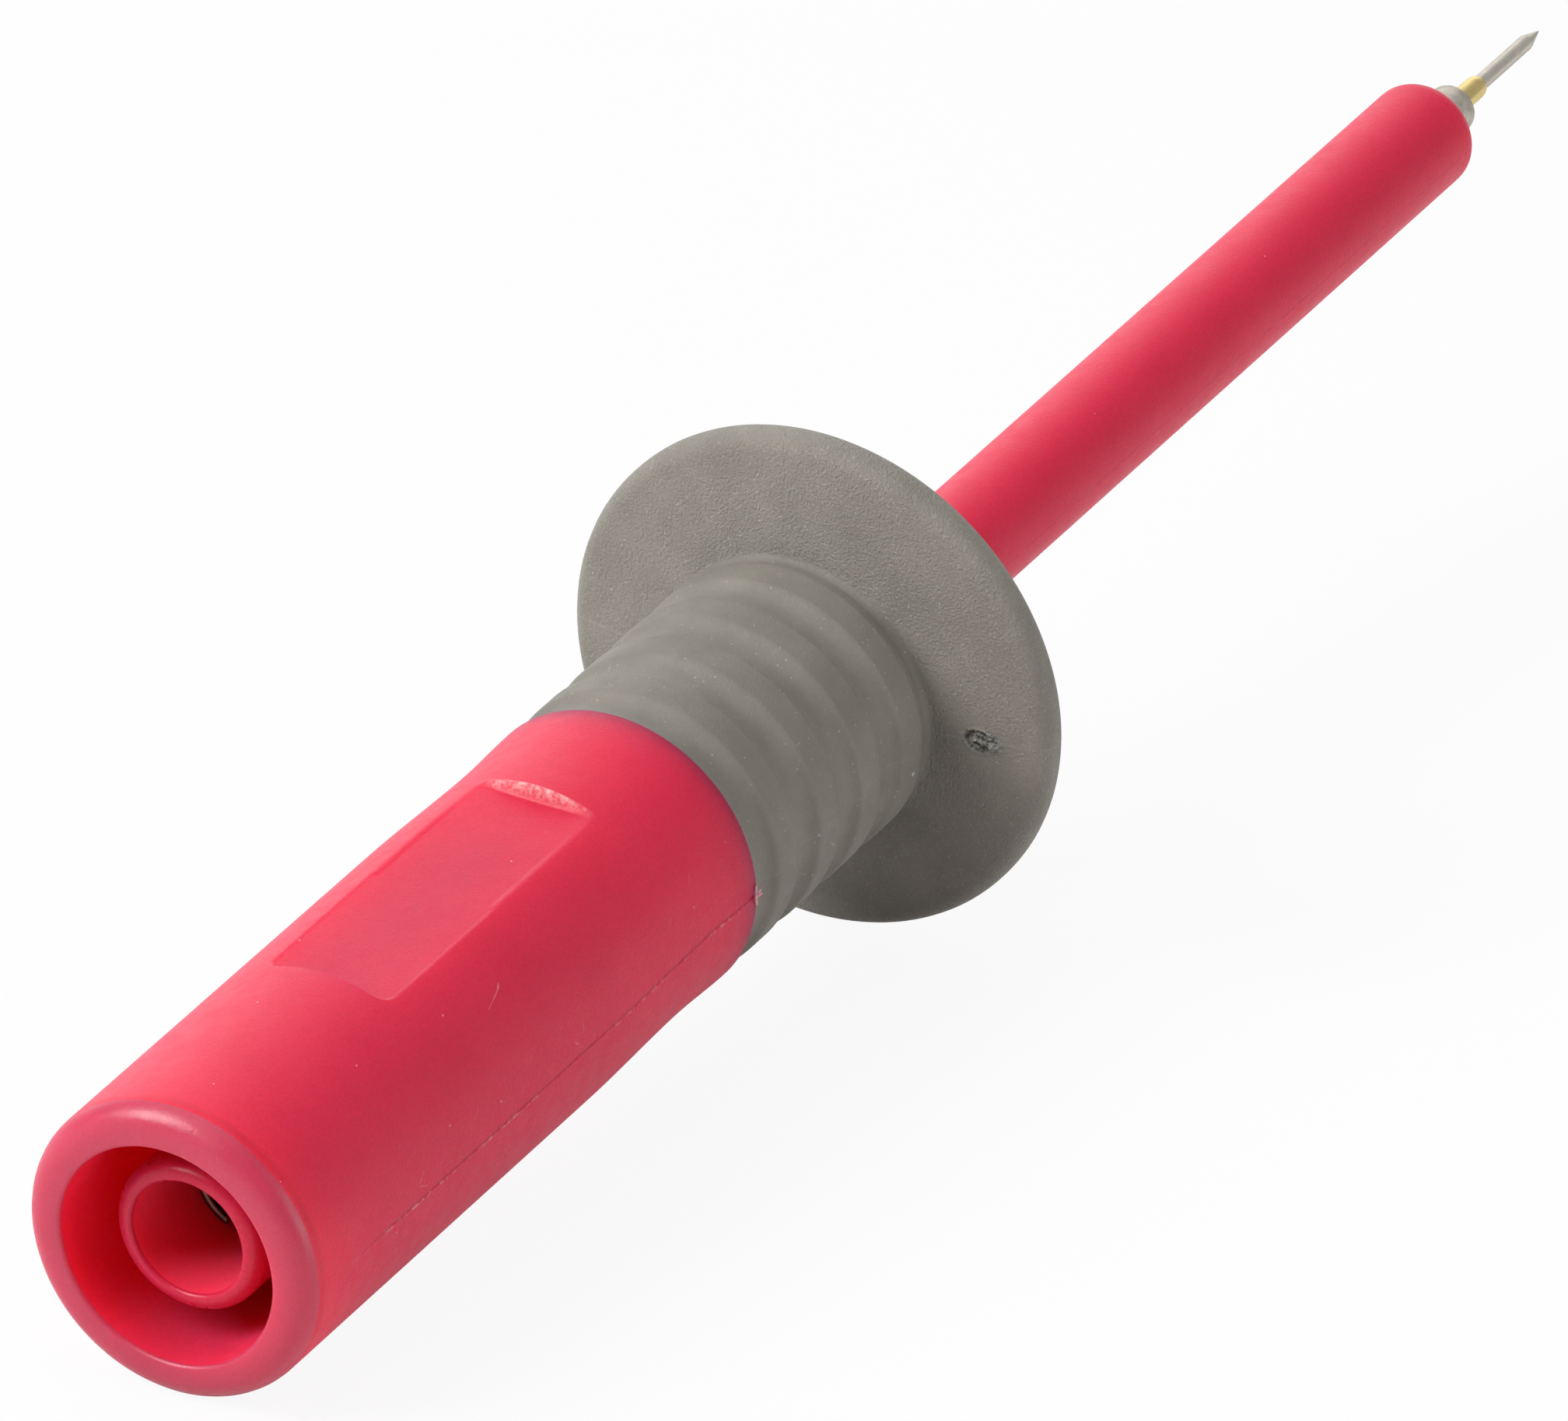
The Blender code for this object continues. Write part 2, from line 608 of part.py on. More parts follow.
def plunger_spring(axis, group, finish):
    """The coil spring between the barrel's floor and the plunger's head, with closed end turns."""
    length = SPRING_END - SPRING_START
    coil_radius = BARREL_BORE - SPRING_SIDE_GAP - SPRING_WIRE / 2
    end_pitch = 1.1 * SPRING_WIRE
    open_pitch = (length - SPRING_WIRE - 2 * end_pitch) / (SPRING_TURNS - 2)
    data = bpy.data.curves.new("plunger_spring", "CURVE")
    data.dimensions = "3D"
    data.bevel_depth = SPRING_WIRE / 2
    data.bevel_resolution = 1
    data.use_fill_caps = True
    count = SPRING_TURNS * SPRING_POINTS + 1
    spline = data.splines.new("POLY")
    spline.points.add(count - 1)
    for i, point in enumerate(spline.points):
        turn = i / SPRING_POINTS
        open_turns = min(max(turn - 1, 0), SPRING_TURNS - 2)
        height = (turn - open_turns) * end_pitch + open_turns * open_pitch
        angle = 2 * pi * turn
        point.co = (coil_radius * cos(angle), coil_radius * sin(angle), height + SPRING_WIRE / 2, 1)
    obj = bpy.data.objects.new("plunger_spring", data)
    group.objects.link(obj)
    place_on_axis(obj, axis, SPRING_START)
    data.materials.append(finish)


def main():
    clear_scene()
    parts = collection("test_probe")
    cutters = collection("cutters")
    axis = axis_frame(parts)
    bpy.context.view_layer.update()

    handle_red = material("handle_red", (0.61, 0.045, 0.095), 0.45)
    sleeve_red = material("sleeve_red", (0.58, 0.02, 0.05), 0.3)
    grip_grey = material("grip_grey", (0.2, 0.2, 0.17), 0.7)
    contact_plate = material("contact_plate", (0.62, 0.58, 0.5), 0.35, metallic=1.0)
    brass = material("brass", (0.72, 0.52, 0.22), 0.35, metallic=1.0)
    nickel = material("nickel", (0.66, 0.62, 0.56), 0.25, metallic=1.0)
    gold = material("gold", (0.83, 0.66, 0.26), 0.25, metallic=1.0)
    steel = material("steel", (0.56, 0.56, 0.54), 0.3, metallic=1.0)

    handle_body(axis, parts, cutters, handle_red)
    front_shaft(axis, parts, handle_red)
    grip_guard(axis, parts, grip_grey)
    socket_sleeve(axis, parts, sleeve_red)
    socket_contact(axis, parts, cutters, contact_plate)
    conductor_rod(axis, parts, brass)
    tip_holder(axis, parts, nickel)
    probe_barrel(axis, parts, gold)
    needle_plunger(axis, parts, steel)
    plunger_spring(axis, parts, steel)


main()
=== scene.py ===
"""Looks of the spring-tipped test probe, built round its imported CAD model.

Sizes below are in millimetres in the probe's own frame: s runs along the probe from the handle's
rear face to the needle's tip, u points to the pocket's side, and v points to the right of someone
who looks along the probe from behind with the pocket on top. Every piece is made there and then
placed with one matrix, so it sits exactly where its CAD solid is.
"""

from math import ceil, cos, hypot, pi, radians, sin, tan

import bpy
import numpy as np
from mathutils import Matrix, Vector


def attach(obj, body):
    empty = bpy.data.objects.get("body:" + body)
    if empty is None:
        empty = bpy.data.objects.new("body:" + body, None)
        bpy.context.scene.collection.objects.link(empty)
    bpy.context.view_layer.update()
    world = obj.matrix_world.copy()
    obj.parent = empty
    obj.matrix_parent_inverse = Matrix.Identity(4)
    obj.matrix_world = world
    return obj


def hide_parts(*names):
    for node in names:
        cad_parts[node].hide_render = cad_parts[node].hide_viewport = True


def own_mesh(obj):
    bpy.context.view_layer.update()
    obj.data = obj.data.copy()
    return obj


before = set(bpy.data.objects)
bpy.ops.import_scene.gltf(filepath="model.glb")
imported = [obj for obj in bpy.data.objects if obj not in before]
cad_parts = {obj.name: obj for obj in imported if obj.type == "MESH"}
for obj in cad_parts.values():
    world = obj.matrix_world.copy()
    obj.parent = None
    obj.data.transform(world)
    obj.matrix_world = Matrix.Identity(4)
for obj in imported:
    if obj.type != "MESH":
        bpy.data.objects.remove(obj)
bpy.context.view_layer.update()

MM = 0.001
BODY = "probe_body"

# The probe's frame: the middle of the handle's rear face, and the directions of u, v and s
REAR_FACE = Vector((-53.4365, 0.0, 6.0571)) * MM
POCKET_DIRECTION = Vector((-0.0913312, 0.0, 0.9958206))
RIGHT_DIRECTION = Vector((0.0, -1.0, 0.0))
NOSE_DIRECTION = Vector((0.9958206, 0.0, 0.0913312))

# Handle
HANDLE_RADIUS = 6.17
HANDLE_LENGTH = 33.28
WAIST_START = 22.8
WAIST_END = 29.8
WAIST_DEPTH = 0.14
FLARE_RISE = 0.09
HANDLE_ROUNDING = 1.0
FRONT_ROUNDING = 0.06
RECESS_RADIUS = 4.55
RECESS_DEPTH = 24.0
MOUTH_ROUNDING = 0.18
SLEEVE_SEAT_RADIUS = 3.4
SLEEVE_SEAT_END = 32.0
TAIL_SEAT_RADIUS = 1.92
TAIL_SEAT_END = 36.0
CORE_END = 46.5
CORE_RADIUS = 4.525
CORE_BORE = 3.325
POCKET_FLOOR = 5.54
POCKET_START = 11.6
POCKET_END = 27.4
POCKET_HALF_WIDTH = 2.74
POCKET_CORNER = 0.8
POCKET_WALL = 0.4
POCKET_BLEND = 0.11
HANDLE_SEAM = 0.036

# Soft grip and guard
GRIP_START = 33.3
GRIP_RADIUS = 6.06
GROOVE_BACK = 0.7
GROOVE_LOW = 0.35
GROOVE_AHEAD = 1.08
GROOVE_DEPTH = 0.36
GROOVE_EDGE = 0.09
GROOVE_FIRST = 34.03
GROOVE_PITCH = 3.2
GROOVE_COUNT = 5
GUARD_ROOT = 47.1
GUARD_RADIUS = 10.55
RIM_START = 48.0
RIM_END = 49.5
RIM_ROUNDING = 0.735
GUARD_FRONT = 50.1
GUARD_FRONT_RADIUS = 4.3
BOSS_END = 53.0
BOSS_RADIUS = 3.3
BOSS_BORE = 2.375
CORE_HOLE_RADIUS = 4.625
CORE_HOLE_END = 46.6
GRIP_SEAM = 0.009
GUARD_SEAM = 0.02

# Rear socket: the sleeve with its flange, and the contact with its collar, tail and slot
SLEEVE_MOUTH = 1.5
SLEEVE_END = 30.0
SLEEVE_RADIUS = 3.14
SLEEVE_BORE = 2.36
FLANGE_START = 22.3
FLANGE_END = 23.9
FLANGE_RADIUS = 4.45
CONTACT_MOUTH = 5.9
CONTACT_RADIUS = 2.32
CONTACT_BORE = 2.0
CONTACT_FLOOR = 26.8
COLLAR_START = 30.1
COLLAR_END = 31.9
COLLAR_RADIUS = 3.02
TAIL_RADIUS = 1.82
TAIL_END = 35.0
ROD_HOLE_RADIUS = 1.07
ROD_HOLE_FLOOR = 29.0
SLOT_HALF_WIDTH = 0.2
SLOT_START = 4.8
SLOT_END = 17.8
SLOT_REACH = 2.9
SLOT_ANGLE = 20

# Shaft
SHAFT_RADIUS = 2.275
SHAFT_START = 36.1
SHAFT_END = 98.5
SHAFT_BORE = 1.15
SHAFT_ROOT_RADIUS = 3.225
SHAFT_NOSE_ROUNDING = 0.9
SHAFT_SEAM = 0.014

# Tip: the collar, the barrel, the needle with its head, and the spring
HOLDER_START = 84.67
HOLDER_END = 100.75
HOLDER_RADIUS = 1.05
BARREL_HOLE_RADIUS = 0.5
BARREL_HOLE_FLOOR = 87.07
SPIGOT_HOLE_RADIUS = 0.6
SPIGOT_HOLE_FLOOR = 86.27
BARREL_START = 87.09
BARREL_FLOOR = 87.59
BARREL_END = 102.6
BARREL_RADIUS = 0.48
BARREL_BORE = 0.4
BARREL_LIP = 0.25
LIP_BORE = 0.345
HEAD_START = 99.83
HEAD_END = 102.33
HEAD_RADIUS = 0.38
HEAD_CHAMFER = 0.04
NEEDLE_RADIUS = 0.325
CONE_LENGTH = 1.15
TIP = 107.8
SPRING_START = 87.61
SPRING_END = 99.81
SPRING_RADIUS = 0.3  # of the wire's middle
SPRING_WIRE = 0.12
SPRING_TURNS = 20

# Torn gate on the guard's rear face: its middle's distance from the axis, and its outline's
# corners as (outwards, up) from there
SCAR_MIDDLE = 7.93
SCAR_CORNERS = (
    (-0.36, 0.49),
    (-0.80, 0.15),
    (-0.69, -0.12),
    (-0.36, -0.44),
    (0.03, -0.54),
    (0.36, -0.45),
    (0.44, -0.22),
    (0.80, -0.01),
    (0.52, 0.15),
    (0.22, 0.35),
    (-0.08, 0.48),
)

# Torn flash at the front end of the handle's right seam: its middle and half sizes as (u, v, s),
# how far its two poles are from the middle, and its spikes as (turn, tilt, height) with the angles
# in radians
NUB_MIDDLE = (0.05, 6.1, 33.18)
NUB_SIZE = (0.2, 0.15, 0.17)
NUB_POLE = 0.15
NUB_SPIKES = (
    (0.6, 0.5, 0.4),
    (2.6, 2.0, 0.4),
    (3.3, 1.2, 0.6),
    (1.3, 2.5, 0.4),
    (0.1, 1.6, 0.55),
    (1.2, 1.3, 0.4),
)

# Colours
WHITE = (1.0, 1.0, 1.0, 1.0)
RED = (0.74, 0.0115, 0.063)
DUST_ON_RED = (0.8, 0.33, 0.35)
FLASH_ON_RED = (0.85, 0.36, 0.4)
SCRATCH_ON_RED = (0.82, 0.26, 0.3)
# Painted glints on the pocket's front wall
PAINTED_GLINT_ON_RED = (0.82, 0.46, 0.44)
# Painted shade for the darker ring round the handle's rear end
PAINTED_SHADE_BAND_RED = (0.5, 0.006, 0.03)
SHEEN_TINT = (1.0, 0.75, 0.78, 1.0)
# Painted glints on the grey rubber's grain, on its crests and in specks
PAINTED_GLINT_ON_GRAIN = (0.42, 0.41, 0.37)
PAINTED_GLINT_ON_GREY = (0.36, 0.35, 0.31)
DUST_ON_GREY = (0.62, 0.62, 0.57)
SEAM_ON_GREY = (0.42, 0.41, 0.38)
SCRATCH_ON_GREY = (0.55, 0.55, 0.52)
TORN_DARK = (0.05, 0.048, 0.042)
TORN_PALE = (0.46, 0.45, 0.41)

# Camera, fitted to the photo's frame
CAMERA_PLACE = Vector((-675.979, -357.556, 382.768)) * MM
CAMERA_RIGHT = Vector((0.49269617, -0.86875175, 0.05020837))
CAMERA_UP = Vector((0.36209242, 0.25713557, 0.89597454))
CAMERA_BACK = Vector((-0.79128981, -0.42326315, 0.44125814))
CAMERA_LENS = 504.93
CAMERA_SENSOR = 36.0

# Light: the white share that each kind of ray sees, the world's parts, and the lamps
FLOOR_WHITE = 0.92
FLOOR_GLOSSY_SHARE = 0.3
WORLD_EVEN = 0.08
WORLD_RIGHT = 0.16
WORLD_BACK = 1.5
WORLD_GLOSSY_SHARE = 0.15
KEY_POWER = 3.7
FILL_POWER = 1.1
TOP_POWER = 1.0

TURN = 2 * pi
SEAM_ANGLES = (pi / 2, 3 * pi / 2)


def to_world():
    """The matrix from (u, v, s) in millimetres to the scene."""
    turn = Matrix((POCKET_DIRECTION, RIGHT_DIRECTION, NOSE_DIRECTION)).transposed().to_4x4()
    return Matrix.Translation(REAR_FACE) @ turn @ Matrix.Scale(MM, 4)


PLACE = to_world()


def rounded(corners, closed=True, step=12.0):
    """An outline through (s, radius, rounding) corners, with an arc at each rounding."""
    points = []
    count = len(corners)
    for i, (place, radius, rounding) in enumerate(corners):
        here = Vector((place, radius))
        if rounding == 0 or (not closed and i in (0, count - 1)):
            points.append((place, radius))
            continue
        back = (Vector(corners[i - 1][:2]) - here).normalized()
        ahead = (Vector(corners[(i + 1) % count][:2]) - here).normalized()
        half_angle = back.angle(ahead) / 2
        centre = here + (back + ahead).normalized() * (rounding / sin(half_angle))
        reach = rounding / tan(half_angle)
        start_ray = (here + back * reach - centre).normalized()
        end_ray = (here + ahead * reach - centre).normalized()
        pieces = max(2, ceil((pi - 2 * half_angle) / radians(step)))
        for k in range(pieces + 1):
            point = centre + start_ray.slerp(end_ray, k / pieces) * rounding
            points.append((point.x, point.y))
    return points


def spaced(points, longest, closed=True):
    """The outline with extra points, so that no stretch of it is longer than longest(s, r)."""
    result = []
    last = len(points) if closed else len(points) - 1
    for i in range(last):
        first = points[i]
        second = points[(i + 1) % len(points)]
        length = hypot(second[0] - first[0], second[1] - first[1])
        limit = longest((first[0] + second[0]) / 2, (first[1] + second[1]) / 2)
        pieces = max(1, ceil(length / limit))
        for k in range(pieces):
            share = k / pieces
            place = first[0] + (second[0] - first[0]) * share
            radius = first[1] + (second[1] - first[1]) * share
            result.append((place, radius))
    if not closed:
        result.append(points[-1])
    return result


def even_turn(count):
    return np.arange(count) * (TURN / count)


def seamed_turn(count, radius, extra=()):
    """Angles round the axis, with close ones at the two seams and in each extra (from, to, number).

    reach is how far the close ones are from a seam, in millimetres.
    """
    reach = (0.035, 0.07, 0.105, 0.14, 0.2, 0.28, 0.38)
    offsets = np.array([-x for x in reversed(reach)] + [0] + list(reach)) / radius
    zones = [(low, high) for low, high, _ in extra]
    for seam in SEAM_ANGLES:
        if not any(low < seam < high for low, high, _ in extra):
            zones.append((seam + offsets[0], seam + offsets[-1]))

    def in_zone(angle):
        turns = (angle, angle - TURN)
        return any(low - 0.008 < turn < high + 0.008 for low, high in zones for turn in turns)

    kept = [angle for angle in even_turn(count) if not in_zone(angle)]
    for seam in SEAM_ANGLES:
        if not any(low < seam < high for low, high, _ in extra):
            kept.extend(seam + offsets)
    for low, high, number in extra:
        kept.extend(np.linspace(low, high, number))
    return np.array(sorted(angle % TURN for angle in kept))


def turned(name, outline, angles, closed=True, relief=None):
    """A piece turned from an outline of (s, radius); relief(u, v, s) may move its points."""
    rings = np.array(outline, float)
    s, angle = np.meshgrid(rings[:, 0], angles, indexing="ij")
    r = np.repeat(rings[:, 1:2], len(angles), axis=1)
    u = r * np.cos(angle)
    v = r * np.sin(angle)
    if relief is not None:
        u, v, s = relief(u, v, s)
    points = np.stack((u, v, s), axis=-1)
    first_pole = not closed and rings[0, 1] == 0
    last_pole = not closed and rings[-1, 1] == 0
    vertices = []
    starts = []
    for i in range(len(rings)):
        starts.append(len(vertices))
        pole = (i == 0 and first_pole) or (i == len(rings) - 1 and last_pole)
        vertices.extend(points[i, :1].tolist() if pole else points[i].tolist())
    column_count = len(angles)
    faces = []
    last = len(rings) if closed else len(rings) - 1
    for i in range(last):
        here = starts[i]
        ahead = starts[(i + 1) % len(rings)]
        for j in range(column_count):
            k = (j + 1) % column_count
            if i == 0 and first_pole:
                faces.append((here, ahead + j, ahead + k))
            elif i == last - 1 and last_pole:
                faces.append((here + j, ahead, here + k))
            else:
                faces.append((here + j, ahead + j, ahead + k, here + k))
    return piece(name, vertices, faces)


def piece(name, vertices, faces, sharp=35):
    """An object from (u, v, s) points, smooth but for edges of more than sharp degrees."""
    mesh = bpy.data.meshes.new(name)
    mesh.from_pydata(vertices, [], faces)
    mesh.transform(PLACE)
    mesh.update()
    mesh.shade_smooth()
    mesh.set_sharp_from_angle(angle=radians(sharp))
    obj = bpy.data.objects.new(name, mesh)
    bpy.context.scene.collection.objects.link(obj)
    return obj


def finish_piece(obj, node, slot, *materials):
    """Gives a piece its materials and its body, and lets it stand for its CAD node; slot is not used."""
    for material in materials:
        obj.data.materials.append(material)
    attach(obj, "plunger" if node == "needle_plunger" else BODY)
    if node:
        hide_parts(node)


def smoothstep(x):
    x = np.clip(x, 0, 1)
    return x * x * (3 - 2 * x)


def smooth_min(a, b, width):
    """The smaller of a and b, with a soft change from one to the other."""
    share = np.clip(0.5 + 0.5 * (b - a) / width, 0, 1)
    return b + (a - b) * share - width * share * (1 - share)


def wander(x, seed):
    """An uneven wave between -1 and 1, the same in each run."""
    waves = ((1.7, 0.9), (3.1, 2.3), (5.3, 0.4), (8.9, 4.1), (13.7, 1.2))
    total = sum(np.sin(x * rate + phase + seed * (1 + rate)) for rate, phase in waves)
    return total / len(waves)


def bump(distance, width):
    """1 at no distance, falling softly to nearly 0 at twice the width."""
    return np.exp(-((distance / width) ** 2))


# Handle

def handle_radius(s):
    """The handle's radius along its side: a slight waist, then a flare to its front edge."""
    drop = smoothstep((s - WAIST_START) / (WAIST_END - WAIST_START))
    rise = smoothstep((s - WAIST_END) / (HANDLE_LENGTH - WAIST_END))
    return HANDLE_RADIUS - WAIST_DEPTH * drop + FLARE_RISE * rise


def seam_relief(u, v, s, ridge, strength):
    """Where the mould's halves met, on both sides: a low uneven ridge, and a groove above it."""
    r = np.maximum(np.hypot(u, v), 0.1)
    close = np.abs(u) < 0.6
    turn = s + np.sign(v) * 3
    crumbs = np.clip(wander(turn * 4.3, 1.0) - 0.3, 0, 1)
    stretches = np.clip(wander(turn * 0.35, 2.0) + 0.2, 0, 1)
    crest = ridge * bump(u, 0.04) * (0.2 + crumbs * stretches * 9)
    groove = ridge * bump(u - 0.08, 0.042) * np.clip(0.6 + 0.5 * wander(turn * 0.7, 4.0), 0.1, 1.2)
    offset = np.where(close, crest - groove, 0) * strength
    return u * (1 + offset / r), v * (1 + offset / r), s


def handle_relief(u, v, s):
    """The pocket on the handle's top, its seams, and the nicks on the mouth's edge."""
    r = np.hypot(u, v)
    side = (r > HANDLE_RADIUS - 0.3) & (s < HANDLE_LENGTH)
    middle = (POCKET_START + POCKET_END) / 2
    along = np.abs(s - middle) - ((POCKET_END - POCKET_START) / 2 - POCKET_CORNER)
    across = np.abs(v) - (POCKET_HALF_WIDTH - POCKET_CORNER)
    outside = np.hypot(np.maximum(along, 0), np.maximum(across, 0))
    edge = outside + np.minimum(np.maximum(along, across), 0) - POCKET_CORNER
    wall = np.where(s > middle, POCKET_WALL, 0.6 * POCKET_WALL)
    depth = smoothstep(-edge / wall)
    flat = smooth_min(u, np.full_like(u, POCKET_FLOOR), POCKET_BLEND)
    in_pocket = side & (u > 0) & (edge < 0)
    u = np.where(in_pocket, u + (flat - u) * depth, u)
    strength = smoothstep((s - 1.2) / 5.0) * side
    u, v, s = seam_relief(u, v, s, HANDLE_SEAM, strength)
    mouth = np.abs(r - RECESS_RADIUS - 0.1) < 0.35
    angle = np.arctan2(v, u)
    nicks = np.clip(wander(angle * 9.0, 6.0) - 0.45, 0, 1) * 0.1
    return u, v, s + np.where(mouth & (s < 0.35), nicks, 0)


def handle_piece():
    """The handle with its rear recess, the seats inside it, and the core under the grip."""
    side = []
    for place in np.arange(HANDLE_LENGTH - 0.2, 1.05, -0.2):
        side.append((float(place), float(handle_radius(place)), 0))
    corners = [
        (CORE_END, CORE_RADIUS, 0),
        (HANDLE_LENGTH, CORE_RADIUS, 0),
        (HANDLE_LENGTH, float(handle_radius(HANDLE_LENGTH)), FRONT_ROUNDING),
    ]
    corners += side
    corners += [
        (0, HANDLE_RADIUS, HANDLE_ROUNDING),
        (0, RECESS_RADIUS, MOUTH_ROUNDING),
        (RECESS_DEPTH, RECESS_RADIUS, 0),
        (RECESS_DEPTH, SLEEVE_SEAT_RADIUS, 0),
        (SLEEVE_SEAT_END, SLEEVE_SEAT_RADIUS, 0),
        (SLEEVE_SEAT_END, TAIL_SEAT_RADIUS, 0),
        (TAIL_SEAT_END, TAIL_SEAT_RADIUS, 0),
        (TAIL_SEAT_END, CORE_BORE, 0),
        (CORE_END, CORE_BORE, 0),
    ]

    def longest(s, r):
        if r < 5 or s < 1:
            return 1.5
        at_wall = POCKET_START - 0.1 < s < POCKET_START + 0.9 or POCKET_END - 0.9 < s < POCKET_END + 0.1
        return 0.05 if at_wall else 0.13

    outline = spaced(rounded(corners), longest)
    pocket = (-0.52, 0.52, 96)
    angles = seamed_turn(144, HANDLE_RADIUS, extra=[pocket])
    return turned("handle", outline, angles, relief=handle_relief)


# Soft grip, with its guard

def groove_depth(offset):
    """A groove's depth at an offset along the axis: an arc down, then a shorter and steeper one up."""
    if offset < GROOVE_LOW:
        share = (GROOVE_LOW - offset) / (GROOVE_LOW + GROOVE_BACK)
    else:
        share = (offset - GROOVE_LOW) / (GROOVE_AHEAD - GROOVE_LOW)
    return GROOVE_DEPTH * max(0.0, 1 - share**2)


def grip_radius(s):
    """The grip's radius along its side: flat lands between the ring grooves."""
    depths = [
        groove_depth(s + softening - GROOVE_FIRST - k * GROOVE_PITCH)
        for k in range(GROOVE_COUNT)
        for softening in (-GROOVE_EDGE, 0, GROOVE_EDGE)
    ]
    return GRIP_RADIUS - sum(depths) / 3


def scar_height(up, out):
    """How far the torn gate stands out of the guard's rear face; up and out are from its middle."""
    turn = np.arctan2(up, out)
    corners = np.array(SCAR_CORNERS)
    corner_turns = np.arctan2(corners[:, 1], corners[:, 0])
    order = np.argsort(corner_turns)
    reach = np.interp(turn, corner_turns[order], np.hypot(*corners[order].T), period=TURN)
    share = np.hypot(up, out) / reach
    inside = 1 - smoothstep((share - 0.78) / 0.2)
    height = 0.09 * bump(share - 1.0, 0.1) * (0.7 + 0.5 * wander(turn * 3.0, 2.0))
    height -= 0.13 * inside
    height -= 0.17 * bump(np.hypot(out + 0.56, up - 0.24), 0.15)
    height -= 0.12 * bump(np.hypot(out - 0.12, up + 0.34), 0.1)

    def ridge(start, end, tall, width):
        along = np.subtract(end, start)
        length = np.hypot(*along)
        share = np.clip(((out - start[0]) * along[0] + (up - start[1]) * along[1]) / length**2, 0, 1)
        away = np.hypot(out - start[0] - share * along[0], up - start[1] - share * along[1])
        return tall * bump(away, width)

    height += ridge((-0.5, 0.12), (0.34, -0.12), 0.27, 0.07)
    height += ridge((-0.46, 0.02), (-0.06, -0.4), 0.2, 0.06)
    height += ridge((-0.2, 0.3), (0.3, 0.1), 0.16, 0.055)
    height += ridge((0.34, -0.28), (0.42, -0.16), 0.22, 0.08)
    height += ridge((0.58, -0.02), (0.7, 0.0), 0.12, 0.06)
    height += 0.03 * inside * wander(out * 9.0 + up * 5.0, 3.0)
    ring = np.hypot(out - 0.62, up + 0.5)
    height -= 0.014 * bump(ring - 0.3, 0.035) * (up < -0.3)
    return height


def grip_relief(u, v, s):
    """The grip's seams, the line across the guard, and the torn gate on its rear face."""
    r = np.hypot(u, v)
    on_disc = (r > GRIP_RADIUS + 0.35) & (s > GUARD_ROOT)
    on_side = (r > GRIP_RADIUS - 0.35) & (s < GUARD_ROOT)
    rear = s < RIM_END - 0.7
    life = np.clip(0.6 + 0.6 * wander(r * 3.0 + s, 2.0), 0.1, 1.2)
    lift = GUARD_SEAM * bump(u, 0.045) * life * on_disc
    at_scar = rear & on_disc & (v > 6.7) & (v < 9.3) & (np.abs(u) < 1.1)
    out = v - SCAR_MIDDLE
    lift = lift + np.where(at_scar, scar_height(u, out) - lift * bump(out, 0.7), 0)
    s = np.where(rear, s - lift, s + lift)
    return seam_relief(u, v, s, GRIP_SEAM, 1.0 * on_side)


def grip_piece():
    """The soft grip with its ring grooves, its guard and the boss in front of it."""
    corners = [
        (BOSS_END, BOSS_BORE, 0),
        (BOSS_END, BOSS_RADIUS, 0.6),
        (GUARD_FRONT, GUARD_FRONT_RADIUS, 0.6),
        (RIM_END, GUARD_RADIUS, RIM_ROUNDING),
        (RIM_START, GUARD_RADIUS, RIM_ROUNDING),
        (GUARD_ROOT, GRIP_RADIUS - 0.3, 0.35),
    ]
    last_groove = GROOVE_FIRST + (GROOVE_COUNT - 1) * GROOVE_PITCH
    for place in np.arange(last_groove, GRIP_START + 0.05, -0.06):
        corners.append((float(place), grip_radius(float(place)), 0))
    corners += [
        (GRIP_START, grip_radius(GRIP_START), 0),
        (GRIP_START, CORE_HOLE_RADIUS, 0),
        (CORE_HOLE_END, CORE_HOLE_RADIUS, 0),
        (CORE_HOLE_END, BOSS_BORE, 0),
    ]

    def longest(s, r):
        if r < GRIP_RADIUS or s < GUARD_ROOT - 0.2:
            return 2.0
        return 0.035 if s < RIM_START and 6.9 < r < 8.95 else 0.25

    outline = spaced(rounded(corners), longest)
    scar_zone = (pi / 2 - 0.12, pi / 2 + 0.12, 56)
    angles = seamed_turn(200, GRIP_RADIUS, extra=[scar_zone])
    return turned("grip", outline, angles, relief=grip_relief)


def in_zones(obj, zone):
    """Gives each face the material that zone(s, r) names by its number."""
    inverse = PLACE.inverted()
    for face in obj.data.polygons:
        place = inverse @ face.center
        face.material_index = zone(place.z, hypot(place.x, place.y))


def handle_zone(s, r):
    """0 on the handle's side, 1 on its end face and 2 in its recess."""
    if s > 0.4 and r < RECESS_RADIUS + 0.1:
        return 2
    return 1 if s < 0.75 else 0


def sleeve_zone(s, r):
    """1 in the sleeve's bore and 0 elsewhere on it."""
    return 1 if s > SLEEVE_MOUTH + 0.25 and r < SLEEVE_BORE + 0.05 else 0


def grip_zone(s, r):
    """1 on the guard and 0 on the grip."""
    return 1 if s > GUARD_ROOT - 0.1 and r > GRIP_RADIUS - 0.1 else 0


def direction(turn, tilt):
    """A direction of length 1, at a turn round the third axis and a tilt away from it."""
    return sin(tilt) * cos(turn), sin(tilt) * sin(turn), cos(tilt)


